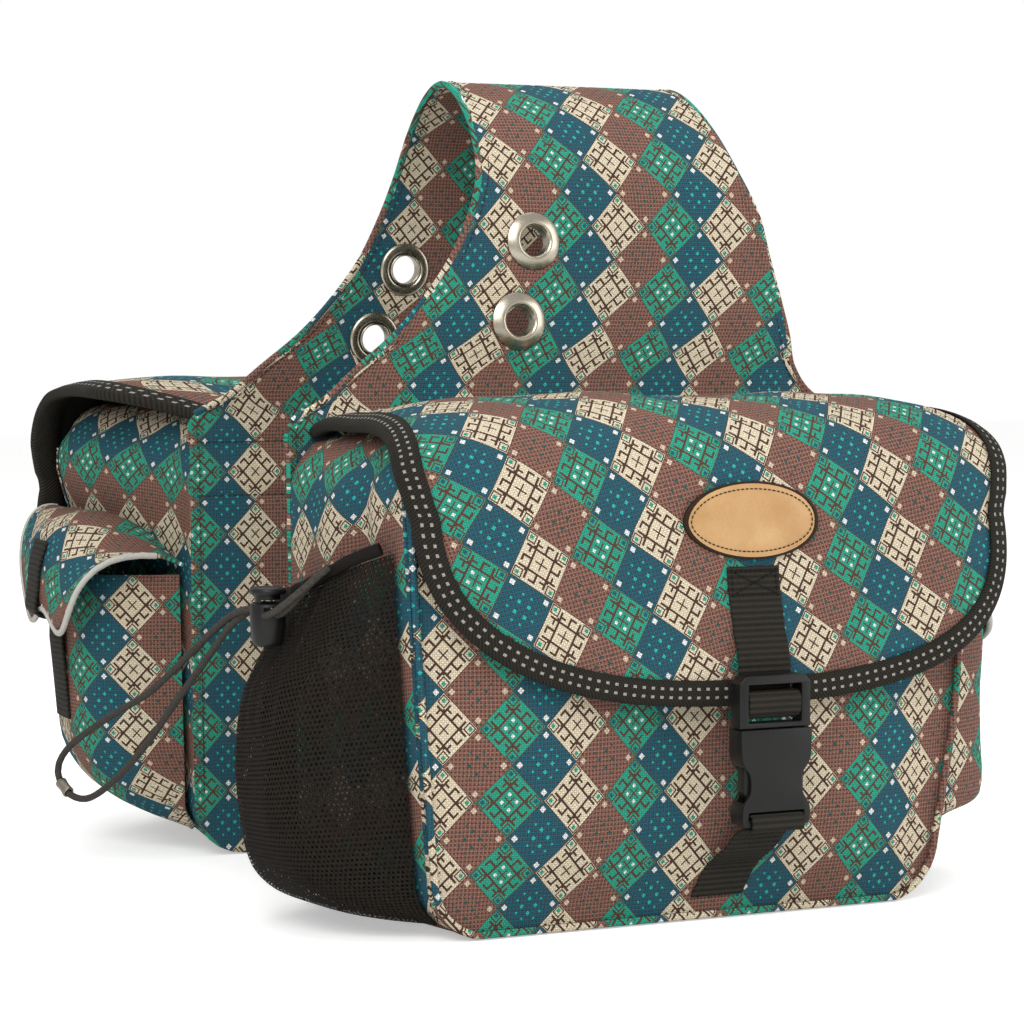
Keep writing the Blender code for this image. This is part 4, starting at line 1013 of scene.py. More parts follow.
def flapSide(bag, x, run, away):
    return turned(flapPoint(bag, x, run) + flapNormal(bag, x, run) * away, bag)


def flapRunAt(bag, x, z):
    return min((abs(flapPoint(bag, x, flapEnd * k / 800).z - z), flapEnd * k / 800)
               for k in range(400, 801))[1]


def flap(bag):
    inset = f["tapeThick"] + f["tapeSpace"]
    shares = rounded(72)
    rows, flat = [], []
    c, s = cos(radians(f["printTurn"])), sin(radians(f["printTurn"]))

    def addRow(spots):
        rows.append([turned(flapPoint(bag, x, run) + flapNormal(bag, x, run) * flapRipple(bag, x, run), bag)
                     for x, run in spots])
        flat.append([((x * c - run * s) + 0.011, (x * s + run * c) + 0.003) for x, run in spots])

    for k in range(49):
        run = flapStraight * k / 48
        wide = flapAt(run)[2] - inset
        addRow([(wide * share, run) for share in shares])
    wide = flapAt(flapStraight)[2] - inset
    drops = [max(flapReach(share, inset), flapStraight + 0.0012) - flapStraight for share in shares]
    for k in range(1, 29):
        addRow([(wide * share, flapStraight + drop * k / 28) for share, drop in zip(shares, drops)])
    made = clothSheet(bag["name"] + "FlapCloth", rows, f["thick"], lined, flat=flat,
                      inside=insideOf(bag, 0))
    bag["flapCloth"], bag["flapRows"] = made, rows
    return ridden(made, "printed_cloth", bag["name"] + "_flap")


# Woven tape folded over the free edge of the flap
def flapTape(bag):
    wide = f["rise"][-1][2]
    side = [(flapAt(flapStraight * k / 60)[2], flapStraight * k / 60) for k in range(60)]
    edge = [(-x, run) for x, run in side]
    edge += [(wide * share, flapReach(share)) for share in rounded(120)]
    edge += list(reversed(side))
    inner = f["thick"] / 2 + f["tapeSpace"]
    outer = inner + f["tapeThick"]
    mid = (inner + outer) / 2
    profile = [(f["tapeWide"], outer), (f["tapeWide"] * 0.75, outer + 0.0003),
               (f["tapeWide"] * 0.4, outer + 0.0004),
               (0.0012, outer), (0.0002, mid * 0.75), (0.0, 0.0), (0.0002, -mid * 0.75), (0.0012, -outer),
               (f["tapeWide"], -outer), (f["tapeWide"], -inner), (f["tapeThick"], -inner),
               (f["tapeThick"], inner),
               (f["tapeWide"], inner)]
    sections, coords, gone = [], [], 0.0
    for i, (x, run) in enumerate(edge):
        before, after = Vector(edge[max(i - 1, 0)]), Vector(edge[min(i + 1, len(edge) - 1)])
        along = (after - before).normalized()
        inward = Vector((along.y, -along.x))
        if inward.dot(Vector((0.0, flapStraight * 0.8)) - Vector((x, run))) < 0:
            inward = -inward
        if i < 60 or i >= len(edge) - 60:
            inward = Vector((-1.0 if x > 0 else 1.0, 0.0))
        if i:
            gone += (Vector((x, run)) - Vector(edge[i - 1])).length
        ring, spots = [], []
        for depth, away in profile:
            spot = Vector((x, run)) + inward * depth
            ring.append(flapSide(bag, spot.x, spot.y, away))
            spots.append((depth if away > 0 else -depth, gone))
        sections.append(ring)
        coords.append(spots)
    made = ringLoft(bag["name"] + "FlapTape", sections, coords, finish["dashTape"])
    declareSheet(bag["flapRows"], bag)
    return ridden(made, "black_webbing", bag["name"] + "_flap_binding")


# Webbing and buckle
s0 = {"half": 0.0127, "thick": 0.0013, "x": 0.0180, "top": 0.1550, "slant": 0.38, "lean": 0.0052,
      "away": 0.1990, "play": 0.0005, "boxHalf": 0.0108, "boxTop": 0.1530, "boxLow": 0.1430, "steps": 10}
k0 = {"half": 0.01735, "frameNear": 0.20015, "frameThick": 0.0084, "bottom": 0.0865, "height": 0.0225,
      "rail": 0.0042, "lowRail": 0.0022, "highRail": 0.0038, "socketThick": 0.0115,
      "socketHeight": 0.0415, "wall": 0.0021, "cavityHalf": 0.0150, "cavityFloor": 0.0075,
      "slotSpace": 0.0008, "slotFrom": 0.0030, "slotTo": 0.0062, "barIn": 0.0034, "barUp": 0.0085,
      "barDeep": 0.0030, "barTall": 0.0038, "armTip": 0.0105, "guideTip": 0.0175}
frameFar, frameTop = k0["frameNear"] + k0["frameThick"], k0["bottom"] + k0["height"]
barNear, barLow = k0["frameNear"] + k0["barIn"], k0["bottom"] + k0["barUp"]
barFar, barHigh = barNear + k0["barDeep"], barLow + k0["barTall"]
socketNear = k0["frameNear"] + k0["frameThick"] / 2 - k0["socketThick"] / 2
socketFar, socketTop = socketNear + k0["socketThick"], k0["bottom"] - s0["play"]
socketBottom = socketTop - k0["socketHeight"]
slotLow, slotHigh = socketBottom + k0["slotFrom"], socketBottom + k0["slotTo"]
armNear, armFar = socketNear + k0["wall"] + s0["play"], socketFar - k0["wall"] - s0["play"]


# Webbing along (distance, height) pairs, as wide as the tape, with cloth coordinates along it
def strapFrom(name, path, bag, count, shift):
    line = smoothLine(path, count)
    across = [s0["half"] * (2 * m / s0["steps"] - 1) for m in range(s0["steps"] + 1)]
    rows, flat, gone = [], [], 0.0
    for k, (y, z) in enumerate(line):
        if k:
            gone += sqrt((y - line[k - 1][0]) ** 2 + (z - line[k - 1][1]) ** 2)
        rows.append([turned((shift(z) + x, -y - bag["depth"] + b["plainDepth"], z), bag) for x in across])
        flat.append([(x, gone) for x in across])
    return clothSheet(name, rows, s0["thick"], (finish["tape"],), flat=flat, edge=0.35)


def flapFront(bag, x, z):
    run = flapRunAt(bag, x, z)
    outer = flapPoint(bag, x, run) + flapNormal(bag, x, run) * f["thick"] / 2
    return -outer.y - bag["depth"] + b["plainDepth"]


def strapLean(z):
    return s0["x"] - s0["lean"] * eased((z - 0.112) / 0.045)


def flapStrap(bag):
    onFlap, room = 0.0004 + s0["thick"] / 2, s0["thick"] / 2 + s0["play"]
    path = [(flapFront(bag, s0["x"], z) + onFlap, z) for z in (s0["top"], 0.1475, 0.1400, 0.1330, 0.1260)]
    low, high = barLow - room - 0.0020, barHigh + room + 0.0018
    outer = barFar + room + 0.0008
    path += [(s0["away"], frameTop + 0.0040), (s0["away"], barHigh), (s0["away"], barLow - 0.0020),
             (s0["away"] + 0.0018, low - 0.0004), (barFar - 0.0016, low - 0.0008),
             (outer - 0.0008, low + 0.0010),
             (outer, (low + high) / 2), (outer - 0.0008, high - 0.0012), (barFar - 0.0016, high),
             (barNear - 0.0006, high - 0.0008), (barNear - room - 0.0002, barHigh - 0.0022)]
    made = strapFrom(bag["name"] + "FlapStrapTape", path, bag, 110, strapLean)
    # sewn down in a box with a cross
    side, top, foot = s0["boxHalf"], s0["boxTop"], s0["boxLow"]
    paths = []
    for xa, za, xb, zb in ((-side, top, side, top), (-side, foot, side, foot), (-side, top, -side, foot),
                           (side, top, side, foot), (-side, top, side, foot), (-side, foot, side, top)):
        line = []
        for k in range(13):
            z = za + (zb - za) * k / 12
            x = strapLean(z) + xa + (xb - xa) * k / 12
            line.append(turned((x, -flapFront(bag, s0["x"], z) - onFlap - s0["thick"] / 2 - 0.0002
                                - bag["depth"] + b["plainDepth"], z), bag))
        paths.append(line)
    stitches(bag["name"] + "StrapStitching", paths, finish["darkThread"], pitch=0.0022, long=0.0010,
             radius=0.00035)
    return ridden(made, "black_webbing", bag["name"] + "_flap_strap")


def faceFront(x, z):
    inset = min(halfWidth(1.0, z) + half - abs(x), z)
    return (b["backPlane"] + b["plainDepth"] + b["seam"] + b["cloth"]
            + b["panelSwell"] * eased(inset / b["swellRun"]))


def socketStrap(bag):
    middle = (slotLow + slotHigh) / 2
    under, front = socketBottom - s0["thick"] / 2 - s0["play"], socketFar + s0["thick"] / 2 + s0["play"]
    behind, onFace = socketNear - s0["thick"] / 2 - s0["play"], 0.0003 + s0["thick"] / 2
    path = [(behind - 0.0014, slotHigh + 0.0045), (behind - 0.0010, middle + 0.0012), (socketNear, middle),
            (socketFar - 0.0004, middle), (front - 0.0002, middle - 0.0014),
            (front + 0.0004, socketBottom - 0.0002),
            (front - 0.0014, under - 0.0007), (socketNear + 0.0065, under - 0.0006), (behind, under - 0.0032),
            (behind - 0.0060, 0.0320)]
    path += [(faceFront(s0["x"], z) + onFace + extra, z) for z, extra in ((0.0240, 0.0012), (0.0160, 0.0005),
                                                                              (0.0100, 0.0003))]
    made = strapFrom(bag["name"] + "LowerStrapTape", path, bag, 90,
                     lambda z: s0["x"] - s0["slant"] * max(socketBottom - 0.0045 - z, 0.0))
    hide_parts(bag["name"] + "_socket_strap")
    place = turned((s0["x"], -0.2 - bag["depth"] + b["plainDepth"], 0.0), bag)
    bag["name"] + "_socket"
    placed(place + Vector((0, 0, socketBottom - 0.006)))
    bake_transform(made)
    return made


# A block of plastic with the given outline of (across, height) pairs between two distances
def moulding(name, outline, near, far):
    count = len(outline)
    faces = [tuple(range(count)), tuple(count + k for k in reversed(range(count)))]
    faces += [(k, count + k, count + (k + 1) % count, (k + 1) % count) for k in range(count)]
    spots = [(x, -y, z) for y in (near, far) for x, z in outline]
    return finishObject(name, facedOut(meshFrom(name, spots, faces)), finish["plastic"])


def brick(name, x, wide, low, high, near, far):
    return moulding(name, [(x - wide, low), (x + wide, low), (x + wide, high), (x - wide, high)], near, far)


# Booleans, then a soft moulded edge, then the whole piece goes to its bag
def joined(base, tools, kind, bag, radius):
    for tool in tools:
        step = base.modifiers.new(tool.name, "BOOLEAN")
        step.operation, step.solver, step.object = kind, "EXACT", tool
    if radius:
        bevelled(base, "edge", radius, 3, 28).use_clamp_overlap = True
    base = applied(base)
    for tool in tools:
        bpy.data.objects.remove(tool, do_unlink=True)
    if bag:
        for vertex in base.data.vertices:
            p = vertex.co
            vertex.co = placed(turned((p.x, p.y - bag["depth"] + b["plainDepth"], p.z), bag))
    creases = smoothed(base).modifiers.new("shading", "EDGE_SPLIT")
    creases.split_angle = radians(40)
    return applied(base)


def buckle(bag):
    x0, window = s0["x"], k0["half"] - k0["rail"]
    frameOutline = [(x0 - k0["half"], k0["bottom"]), (x0 + k0["half"], k0["bottom"]),
                    (x0 + k0["half"], frameTop - 0.003),
                    (x0 + k0["half"] - 0.003, frameTop), (x0 - k0["half"] + 0.003, frameTop),
                    (x0 - k0["half"], frameTop - 0.003)]
    plug = moulding(bag["name"] + "PlugMoulding", frameOutline, k0["frameNear"], frameFar)
    opening = brick("opening", x0, window, k0["bottom"] + k0["lowRail"], frameTop - k0["highRail"],
                    k0["frameNear"] - 0.002, frameFar + 0.002)
    plug = joined(plug, [opening], "DIFFERENCE", None, 0)
    bar = moulding("bar", [(x0 - window - 0.001, barLow), (x0 + window + 0.001, barLow),
                           (x0 + window + 0.001, barHigh), (x0 - window - 0.001, barHigh)], barNear, barFar)
    tip = socketBottom + k0["armTip"]
    tools = [bar]
    for side in (-1, 1):
        tools.append(moulding("arm", [(x0 + side * x, z) for x, z in (
            (0.0095, k0["bottom"] + 0.001), (0.0130, k0["bottom"] + 0.001), (0.0132, tip + 0.0190),
                                                                      (0.0145, tip + 0.0140),
            (0.0145, tip + 0.0040), (0.0115, tip), (0.0090, tip + 0.0020), (0.0100, tip + 0.0150))], armNear,
                              armFar))
    tools.append(moulding("guide", [(x0 - 0.0026, k0["bottom"] + 0.001), (x0 + 0.0026, k0["bottom"] + 0.001),
                                    (x0 + 0.0018, socketBottom + k0["guideTip"]),
                                    (x0 - 0.0018, socketBottom + k0["guideTip"])],
                          armNear, armFar))
    plug = joined(plug, tools, "UNION", bag, 0.0006)
    ridden(plug, "black_plastic", bag["name"] + "_buckle_plug")

    shape = [(0.0, 0.0415), (0.00012, 0.0365), (0.00025, 0.0315), (0.00060, 0.0288), (0.00135, 0.0267),
             (0.00270, 0.0247),
             (0.00405, 0.0230), (0.00475, 0.0208), (0.00495, 0.0180), (0.00475, 0.0152), (0.00405, 0.0130),
             (0.00270, 0.0109), (0.00135, 0.0090), (0.00090, 0.0073), (0.00075, 0.0055), (0.00078, 0.0038),
             (0.00095, 0.0020), (0.00150, 0.0006), (0.00255, 0.0)]
    right = [(k0["half"] - inward, socketBottom + up) for inward, up in shape]
    shell = moulding(bag["name"] + "SocketMoulding", [(x0 + x, z) for x, z in right]
                     + [(x0 - x, z) for x, z in reversed(right)], socketNear, socketFar)
    cavity = brick("cavity", x0, k0["cavityHalf"], socketBottom + k0["cavityFloor"], socketTop + 0.002,
                   socketNear + k0["wall"], socketFar - k0["wall"])
    slot = brick("slot", x0, s0["half"] + k0["slotSpace"], slotLow, slotHigh, socketNear - 0.002,
                 socketFar + 0.002)
    shell = joined(shell, [cavity, slot], "DIFFERENCE", bag, 0.0007)
    ridden(shell, "black_plastic", bag["name"] + "_buckle_socket", body=bag["name"] + "_socket")


# Pockets
net = {"thick": 0.0012, "bulge": 0.0400, "foot": 0.0060, "topBack": 0.1360, "topRise": 0.0270,
       "span": (0.07, 0.95), "profile": [(0.0, 0.0), (0.01, 0.36), (0.04, 0.64), (0.10, 0.82),
       (0.19, 0.95), (0.33, 1.0), (0.52, 1.0), (0.70, 0.90), (0.86, 0.58), (1.0, 0.36)],
       "hemRadius": 0.0028, "hemInset": 0.03}
pk = {"top": 0.1370, "span": (0.08, 0.96), "square": 5.0, "skew": 0.2, "space": 0.0015,
      "wallSpace": 0.0023, "flapThick": 0.0018, "flapProfile": [(0.0000, 0.1600), (0.0130, 0.1650),
      (0.0300, 0.1650), (0.0430, 0.1605), (0.0520, 0.1515), (0.0565, 0.1400), (0.0580, 0.1280),
      (0.0578, 0.1180)], "pipingRadius": 0.0015, "pipingSpace": 0.0008, "tabHalf": 0.0120,
      "tabLow": 0.0640, "tabMiddle": 0.5050, "tabSpace": 0.0006, "smallStart": 0.03, "smallShare": 0.95,
      "wave": 46}


def sideWall(bag, side, t, z, out):
    out += leanOut(bag, t, z) if side > 0 else 0.0
    return Vector((side * (halfWidth(t, z) + swell(t, z) + half + out), -depthAt(bag, t), z))


def pocketWall(bag, side, a, z, share, bulge, span, thick):
    full = (1 - abs(2 * a - 1) ** pk["square"]) * (1 + pk["skew"] * (a - 0.5))
    t = span[0] + (span[1] - span[0]) * a
    bulge -= leanOut(bag, t, z) if side > 0 else 0.0
    return sideWall(bag, side, t, z, pk["space"] + thick / 2 + bulge * full * share)


def columnsAt(count):
    return [0.5 - 0.5 * cos(pi * k / count) for k in range(count + 1)]


def netTop(a):
    return net["topBack"] + net["topRise"] * a * a


# Net bottle pocket, gathered by its hem and sagging at the foot
def netPocket(bag):
    rows = []
    for down, share in smoothLine(net["profile"], 46):
        row = []
        for a in columnsAt(48):
            z = net["foot"] + (netTop(a) - net["foot"]) * down
            p = pocketWall(bag, -1, a, z, share, net["bulge"], net["span"], net["thick"])
            gather = eased((down - 0.45) / 0.5) * sin(pi * a)
            p.x -= gather * (0.0014 * sin(a * pk["wave"] + 1.3 * sin(down * 5))
                             + bumpy((a, down, 0), 7.0, 0.0012, 2.0))
            p.x -= bumpy((a * 1.2, down, 1.0), 4.0, 0.0022, 6.0) * sin(pi * a) * sin(pi * down)
            row.append(turned(p, bag))
        rows.append(row)
    made = clothSheet(bag["name"] + "NetPocketCloth", rows, net["thick"], (finish["net"],), edge=0,
                      inside=insideOf(bag))
    bag["netCloth"], bag["netRows"] = made, rows
    return ridden(made, "black_mesh", bag["name"] + "_mesh_pocket")


def hemSpot(bag, a):
    rim = pocketWall(bag, -1, a, netTop(a), net["profile"][-1][1], net["bulge"], net["span"], net["thick"])
    return rim + Vector((0.0, 0.0, net["hemRadius"] + 0.0008))


def netHem(bag):
    inset = net["hemInset"]
    points = []
    for k in range(61):
        a = inset + (1 - 2 * inset) * (0.5 - 0.5 * cos(pi * k / 60))
        p = hemSpot(bag, a)
        p.x -= 0.0006 * sin(a * pk["wave"]) * sin(pi * a)
        points.append(turned(p, bag))
    made = pipe(bag["name"] + "NetHemRoll", points, net["hemRadius"], finish["hem"], step=0.0015, sides=14)
    declareSheet(bag["netRows"], bag)
    return ridden(made, "black_mesh", bag["name"] + "_mesh_pocket_hem")


def sidePocket(bag):
    rows = []
    for down, share in smoothLine(bag["pocketProfile"], 34):
        row = []
        for a in columnsAt(40):
            z = bag["pocketFoot"] + (pk["top"] - bag["pocketFoot"]) * down
            p = pocketWall(bag, 1, a, z, share, bag["pocketBulge"], pk["span"], b["cloth"])
            p.x += bumpy((a, down, 2.0), 4.5, 0.0022, 8.0) * sin(pi * a) * sin(pi * min(down, 0.9) / 0.9)
            row.append(turned(p, bag))
        rows.append(row)
    flat = [[(0.003 - u, v + 0.008) for u, v in row] for row in clothCoords(rows, 0.0)]
    made = clothSheet(bag["name"] + "SidePocketCloth", rows, b["cloth"], lined,
                      inside=insideOf(bag), flat=flat)
    return ridden(made, "printed_cloth", bag["name"] + "_side_pocket")


# Share of the pocket's bulge at a height
def pocketShare(bag, z):
    down = (z - bag["pocketFoot"]) / (pk["top"] - bag["pocketFoot"])
    for (low, one), (high, two) in zip(bag["pocketProfile"], bag["pocketProfile"][1:]):
        if down <= high:
            return one + (two - one) * (down - low) / (high - low)
    return bag["pocketProfile"][-1][1]


smallLine = smoothLine(pk["flapProfile"], 60)
smallWhole = lengthOf(smallLine)
smallWidest = max(out for out, _ in pk["flapProfile"])


# A point of the small flap: a across, part of the way along from its seam, away above its middle
def smallPoint(bag, a, part, away):
    seam = pk["flapProfile"][0][1]
    scale = (bag["smallFlapOut"] - leanOut(bag, pk["smallStart"] + pk["smallShare"] * a, seam)) / smallWidest
    scale *= 1 - bag["smallTuck"] * eased((a - 0.75) / 0.25)
    line = [(out * scale, z) for out, z in smallLine]
    place = max(part, 0.0) * (len(line) - 1)
    k = min(int(place), len(line) - 2)
    share = place - k
    one, two = Vector(line[k]), Vector(line[k + 1])
    along = (Vector(line[min(k + 2, len(line) - 1)]) - Vector(line[max(k - 1, 0)])).normalized()
    here = one.lerp(two, share) + Vector((-along.y, along.x)) * away
    wall = sideWall(bag, 1, pk["smallStart"] + pk["smallShare"] * a, seam, pk["wallSpace"])
    return turned((wall.x + here.x, wall.y, here.y - bag["smallDrop"] * eased(1 - a / 0.45)), bag)


def smallReach(a):
    return 0.50 + 0.50 * max(1 - abs(2 * a - 1) ** 2.6,
                             0.0) ** (1 / 2.6) + 0.06 * sin(3 * pi * (a - 0.5)) * sin(pi * a)


# Small flap with a piped free edge and a webbing tab that holds it down
def smallFlap(bag):
    rows = [[smallPoint(bag, a, smallReach(a) * k / 24, bumpy((a, k / 24, 0), 5.0, 0.0012, 1.0) * sin(pi * a)
                        * sin(pi * min(k / 24, 1.0)))
             for a in columnsAt(36)] for k in range(25)]
    cloth = clothSheet(bag["name"] + "SmallFlapCloth", rows, pk["flapThick"], lined,
                      inside=turned((0.1, -b["backPlane"] - bag["depth"] / 2, 0.1), bag), turn=90)
    ridden(cloth, "printed_cloth", bag["name"] + "_side_pocket_flap")
    span = depthAt(bag, 1.0) - depthAt(bag, 0.0)
    depth = pk["smallShare"] * span
    reach = pk["pipingRadius"] + pk["pipingSpace"]
    side = [(0.0, smallWhole * 0.50 * k / 6) for k in range(2, 6)]
    lower = [(a * depth, smallWhole * smallReach(a)) for a in columnsAt(48)]
    edge = side + lower + [(depth, run) for _, run in reversed(side)]
    path = []
    for i, spot in enumerate(edge):
        along = (Vector(edge[min(i + 1, len(edge) - 1)]) - Vector(edge[max(i - 1, 0)])).normalized()
        outer = Vector(spot) + Vector((-along.y, along.x)) * reach
        path.append(smallPoint(bag, outer.x / depth, outer.y / smallWhole, 0.0))
    made = pipe(bag["name"] + "SmallFlapPiping", path, pk["pipingRadius"], finish["piping"], step=0.0015)
    ridden(made, "grey_piping", bag["name"] + "_side_flap_piping")
    declareSheet(rows, bag)
    # webbing tab
    overCloth = (pk["flapThick"] + s0["thick"]) / 2 + pk["tabSpace"]
    overPiping = pk["pipingRadius"] + s0["thick"] / 2 + pk["tabSpace"]
    onPocket = (b["cloth"] + s0["thick"]) / 2 + pk["tabSpace"]
    columns = []
    for m in range(9):
        t = pk["tabMiddle"] + (m / 4 - 1) * pk["tabHalf"] / span
        aFlap, aPocket = (t - pk["smallStart"]) / pk["smallShare"], (t - pk["span"][0]) / (pk["span"][1]
                                                                                           - pk["span"][0])
        line = [smallPoint(bag, aFlap, share, overCloth) for share in (0.625, 0.75, 0.875)]
        line.append(smallPoint(bag, aFlap, 1.0 - 0.001, overPiping) + Vector((0, 0, -0.0005)))
        start = line[-1].z - 0.0045
        for share in (0.0, 0.22, 0.40, 0.60, 0.80, 1.0):
            z = start + (pk["tabLow"] - start) * share
            wall = pocketWall(bag, 1, aPocket, z, max(1.0, pocketShare(bag, z)), bag["pocketBulge"],
                              pk["span"], b["cloth"])
            line.append(turned(wall + Vector((onPocket + 0.002 * (1 - share) ** 2, 0.0, 0.0)), bag))
        columns.append([Vector(p) for p in smoothLine([tuple(p) for p in line], 50)])
    made = clothSheet(bag["name"] + "SideTabTape", [list(row) for row in zip(*columns)], s0["thick"],
                      (finish["tape"],), edge=0.35)
    ridden(made, "black_webbing", bag["name"] + "_side_pocket_strap")


# Patch, eyelets, cord lock
patchSize = {"center": (0.0075, 0.1745), "half": (0.0330, 0.0165), "space": 0.0008, "border": 0.0034,
             "around": 72}


# Oval leather patch with an inked edge and a sewn border, left plain
def patch(bag):
    x0, z0 = patchSize["center"]
    run0 = flapRunAt(bag, x0, z0)
    base = f["thick"] / 2 + patchSize["space"]
    profile = [(0.0, 0.0), (0.96, 0.0), (1.0, 0.0003), (1.0, 0.0012), (0.985, 0.0017), (0.95, 0.0018),
               (0.935, 0.00165),
               (0.915, 0.00165), (0.90, 0.0018), (0.6, 0.0021), (0.3, 0.0023), (0.0, 0.0024)]
    (wide, tall), around = patchSize["half"], patchSize["around"]

    def oval(across, along, up, count):
        return [flapSide(bag, x0 + across * cos(2 * pi * k / count), run0 + along * sin(2 * pi * k / count),
                         base + up)
                for k in range(count)]

    rings = [oval(wide * max(size, 0.004), tall * max(size, 0.004), up, around) for size, up in profile]
    made = ringLoft("ovalPatchLeather", rings, None, finish["leather"])
    made.data.materials.append(finish["rimLeather"])
    for face in made.data.polygons:
        ring = min(v // around for v in face.vertices)
        face.material_index = 1 if 1 <= ring <= 5 else 0
    ridden(made, "leatherette", "front_oval_patch")
    border = oval(wide - patchSize["border"], tall - patchSize["border"], 0.0020, 120)
    stitches("patchStitching", [border], finish["rimLeather"], pitch=0.0022, long=0.0009, radius=0.00030,
             closed=True)


def eyelet(tag, x, z, side):
    center, normal = yokeFrame(x, z, side)
    across = Vector((1.0, 0.0, 0.0))
    up = normal.cross(across)
    skin = half + 0.0003
    hole, flange = eyeletSize["hole"], eyeletSize["flange"]
    front = smoothLine([(hole, -skin - 0.0014), (hole, skin + 0.0006), (hole + 0.0005, skin + 0.0017),
                        (hole + 0.0014, skin + 0.0023),
                        (hole + 0.0026, skin + 0.0021), (0.0115, skin + 0.0013),
                        (flange - 0.0004, skin + 0.0004),
                        (flange, skin)], 30)
    front += [(hole + 0.0008, skin), (hole + 0.0008, -skin - 0.0014)]
    back = [(hole + 0.0012, -skin), (flange - 0.0005, -skin), (flange - 0.0006, -skin - 0.0004),
            (0.0118, -skin - 0.0010),
            (0.0100, -skin - 0.0011), (hole + 0.0012, -skin - 0.0009)]
    for name, profile, nodeName in (("eyeletRing", front, "grommet_"),
                                    ("eyeletWasher", back, "grommet_washer_")):
        rings = turnedRings(center, normal, across, up, profile, 64)
        made = ringLoft(name + "_" + tag, rings, None, finish["eyelet"], closed=True)
        ridden(made, "brass", nodeName + tag)


lk = {"center": (-0.1812, -0.1250), "base": 0.1225, "barrel": 0.0075, "height": 0.0185, "bore": 0.0058,
      "floor": 0.0015, "stem": 0.0054, "head": 0.0078, "headHeight": 0.0030, "travel": 0.0030,
      "stemLow": 0.1325, "cordRadius": 0.0016, "spacing": 0.0044, "cordHeight": 0.1372,
      "clipKnots": (11, 12), "clipLength": 0.0080, "clipThick": 0.0009, "coil": 0.0040, "wire": 0.0004,
      "run": [(-0.1870, -0.1090, 0.1365), (-0.1885, -0.0970, 0.1325), (-0.1905, -0.0800, 0.1245),
      (-0.1930, -0.0580, 0.1130), (-0.1960, -0.0360, 0.1010), (-0.1995, -0.0140, 0.0900),
      (-0.2050, 0.0120, 0.0795), (-0.2105, 0.0345, 0.0690), (-0.2155, 0.0520, 0.0590),
      (-0.2180, 0.0600, 0.0500), (-0.2175, 0.0600, 0.0425), (-0.2150, 0.0520, 0.0368),
      (-0.2110, 0.0375, 0.0365), (-0.2068, 0.0180, 0.0450), (-0.2025, -0.0050, 0.0590),
      (-0.1990, -0.0240, 0.0730), (-0.1960, -0.0420, 0.0875), (-0.1930, -0.0610, 0.1020),
      (-0.1905, -0.0810, 0.1165), (-0.1885, -0.0980, 0.1285), (-0.1835, -0.1090, 0.1360)]}
lock = Vector((*lk["center"], 0.0))


# Elastic cord from the net's hem through the lock, out in a long loop and back
def drawcord():
    apart = lk["spacing"] / 2

    def cordEnd(a):
        return hemSpot(bags[0], a) - Vector((net["hemRadius"] + lk["cordRadius"] + 0.0003, 0.0, 0.0))
    loop = [cordEnd(0.80), lock + Vector((-apart, -0.0110, lk["cordHeight"])),
            lock + Vector((-apart, 0.0100, lk["cordHeight"]))]
    loop += [Vector(p) for p in lk["run"]]
    loop += [lock + Vector((apart, 0.0100, lk["cordHeight"])),
             lock + Vector((apart, -0.0110, lk["cordHeight"])),
             cordEnd(0.74)]
    line = smoothLine([tuple(p) for p in loop], 110)
    made = pipe("drawcordElastic", line, lk["cordRadius"], finish["elastic"], step=0.0015, sides=12)
    ridden(made, "elastic", "drawcord")
    # crimped sleeve that holds the two ends together
    one, two = (Vector(lk["run"][knot - 1]) for knot in lk["clipKnots"])
    axis = (two - one).normalized()
    across = axis.cross(Vector((0.0, 0.0, 1.0))).normalized()
    up, bore, end = axis.cross(across), lk["cordRadius"] + 0.0003, lk["clipLength"] / 2
    outer = bore + lk["clipThick"]
    profile = [(bore, -end), (bore, end), (outer - 0.0002, end), (outer, end - 0.0005),
               (outer - 0.0003, 0.0006),
               (outer - 0.0003, -0.0006), (outer, -end + 0.0005), (outer - 0.0002, -end)]
    rings = turnedRings((one + two) / 2, axis, across, up, profile, 32)
    clip = ridden(ringLoft("cordClipSleeve", rings, None, finish["clip"], closed=True), "steel", "cord_clip")


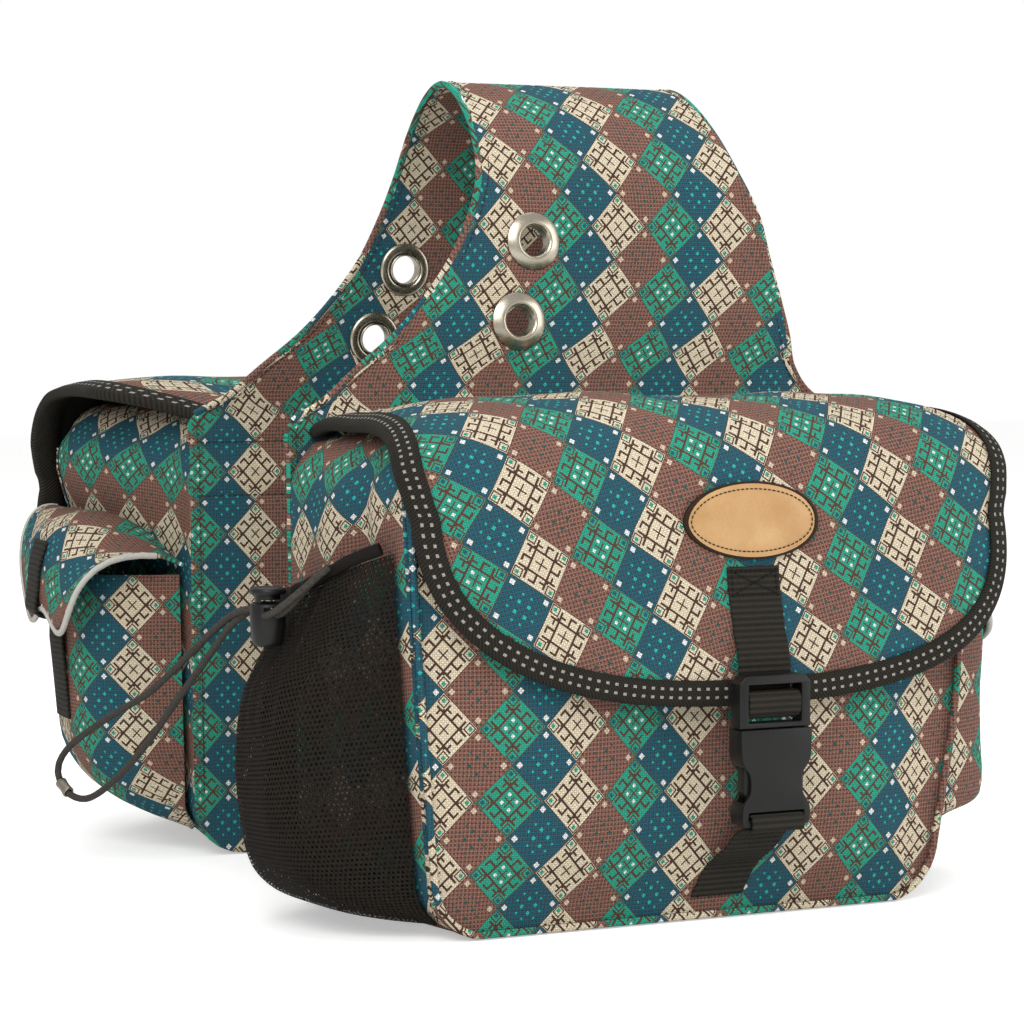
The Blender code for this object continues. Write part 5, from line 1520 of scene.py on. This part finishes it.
# Barrel, button and spring; each moulding is a stack of discs of (radius, height)
def cordLock():
    def turnedPart(name, discs):
        rings = [[lock + Vector((radius * cos(2 * pi * k / 48), radius * sin(2 * pi * k / 48), z))
                  for k in range(48)]
                 for radius, z in discs]
        return ringLoft(name, rings, None, finish["plastic"])

    base, top, bore, wall = lk["base"], lk["base"] + lk["height"], lk["bore"], lk["barrel"]
    barrel = turnedPart("cordLockBarrelMoulding", [
        (bore, base + lk["floor"]), (bore, top - 0.0005), (bore + 0.0005, top), (wall - 0.0012, top),
        (wall - 0.0004, top - 0.0004), (wall, top - 0.0012), (wall, base + 0.0080),
                                                   (wall - 0.0004, base + 0.0060),
        (wall - 0.0008, base + 0.0020), (wall - 0.0014, base + 0.0008), (wall - 0.0026, base)])
    capLow, stem, head, tall = top + lk["travel"] + 0.0006, lk["stem"], lk["head"], lk["headHeight"]
    button = turnedPart("cordLockButtonMoulding", [
        (stem - 0.0004, lk["stemLow"]), (stem, lk["stemLow"] + 0.0004), (stem, capLow),
                                                   (head - 0.0004, capLow),
        (head, capLow + 0.0005), (head, capLow + tall * 0.6), (head - 0.0005, capLow + tall * 0.85),
        (head - 0.0014, capLow + tall), (head - 0.0050, capLow + tall - 0.0004)])
    wide = lk["spacing"] / 2 + lk["cordRadius"] + 0.0004
    low = lk["cordHeight"] - lk["cordRadius"] - 0.0005

    def crossBore(high, reach):
        center = placed(lock)
        return brick("crossBore", center.x, wide, low, high, -center.y - reach, -center.y + reach)

    high = lk["cordHeight"] + lk["cordRadius"] + 0.0005
    ridden(joined(barrel, [crossBore(high, 0.012)], "DIFFERENCE", None, 0), "black_plastic",
           "cord_lock_barrel")
    ridden(joined(button, [crossBore(high + lk["travel"], 0.008)], "DIFFERENCE", None, 0), "black_plastic",
           "cord_lock_button", body="lock_button")
    low, high = base + lk["floor"] + 0.0008, lk["stemLow"] - 0.0008
    coil = lk["coil"]
    turns = [lock
             + Vector((coil * cos(2 * pi * k / 24), coil * sin(2 * pi * k / 24), low + (high - low) * k / 96))
             for k in range(97)]
    spring = pipe("cordLockSpringWire", turns, lk["wire"], finish["wire"], step=0.0008, sides=8)
    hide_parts("cord_lock_spring")
    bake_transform(spring)


drawcord()
cordLock()
print("cord and lock made")
yoke()
for side, sign in (("front", -1), ("rear", 1)):
    for number, (x, z) in enumerate(eyeletSize[side], 1):
        eyelet(f"{side}_{number}", x, z, sign)
print("yoke made")
for bag in bags:
    for make in (gusset, facePanel, facePiping, flap, flapTape, flapStrap, buckle, socketStrap, netPocket,
                 netHem,
                 sidePocket, smallFlap):
        make(bag)
    print(bag["name"], "bag made")
patch(bags[0])

wide = studio["floorHalf"]
floor = added("floor",
              meshFrom("floor", [(-wide, -wide, 0), (wide, -wide, 0), (wide, wide, 0), (-wide, wide, 0)],
                                [(0, 1, 2, 3)]))
floor.location.z = cadBox[0][2] - studio["floorSpace"]
# paler to the camera than its light alone would make it, as a studio sweep is
floorFinish, shader = newMaterial("paleFloor", 0.9, studio["floor"])
pale, seen, both = node("ShaderNodeEmission"), node("ShaderNodeLightPath"), node("ShaderNodeAddShader")
pale.inputs[0].default_value = rgb("ffffff")
floorLinks = floorFinish.node_tree.links
floorLinks.new((Sum(seen.outputs["Is Camera Ray"]) * studio["floorGlow"]).socket, pale.inputs[1])
floorLinks.new(shader.outputs[0], both.inputs[0])
floorLinks.new(pale.outputs[0], both.inputs[1])
floorLinks.new(both.outputs[0], floorFinish.node_tree.nodes["Material Output"].inputs[0])
floor.data.materials.append(floorFinish)
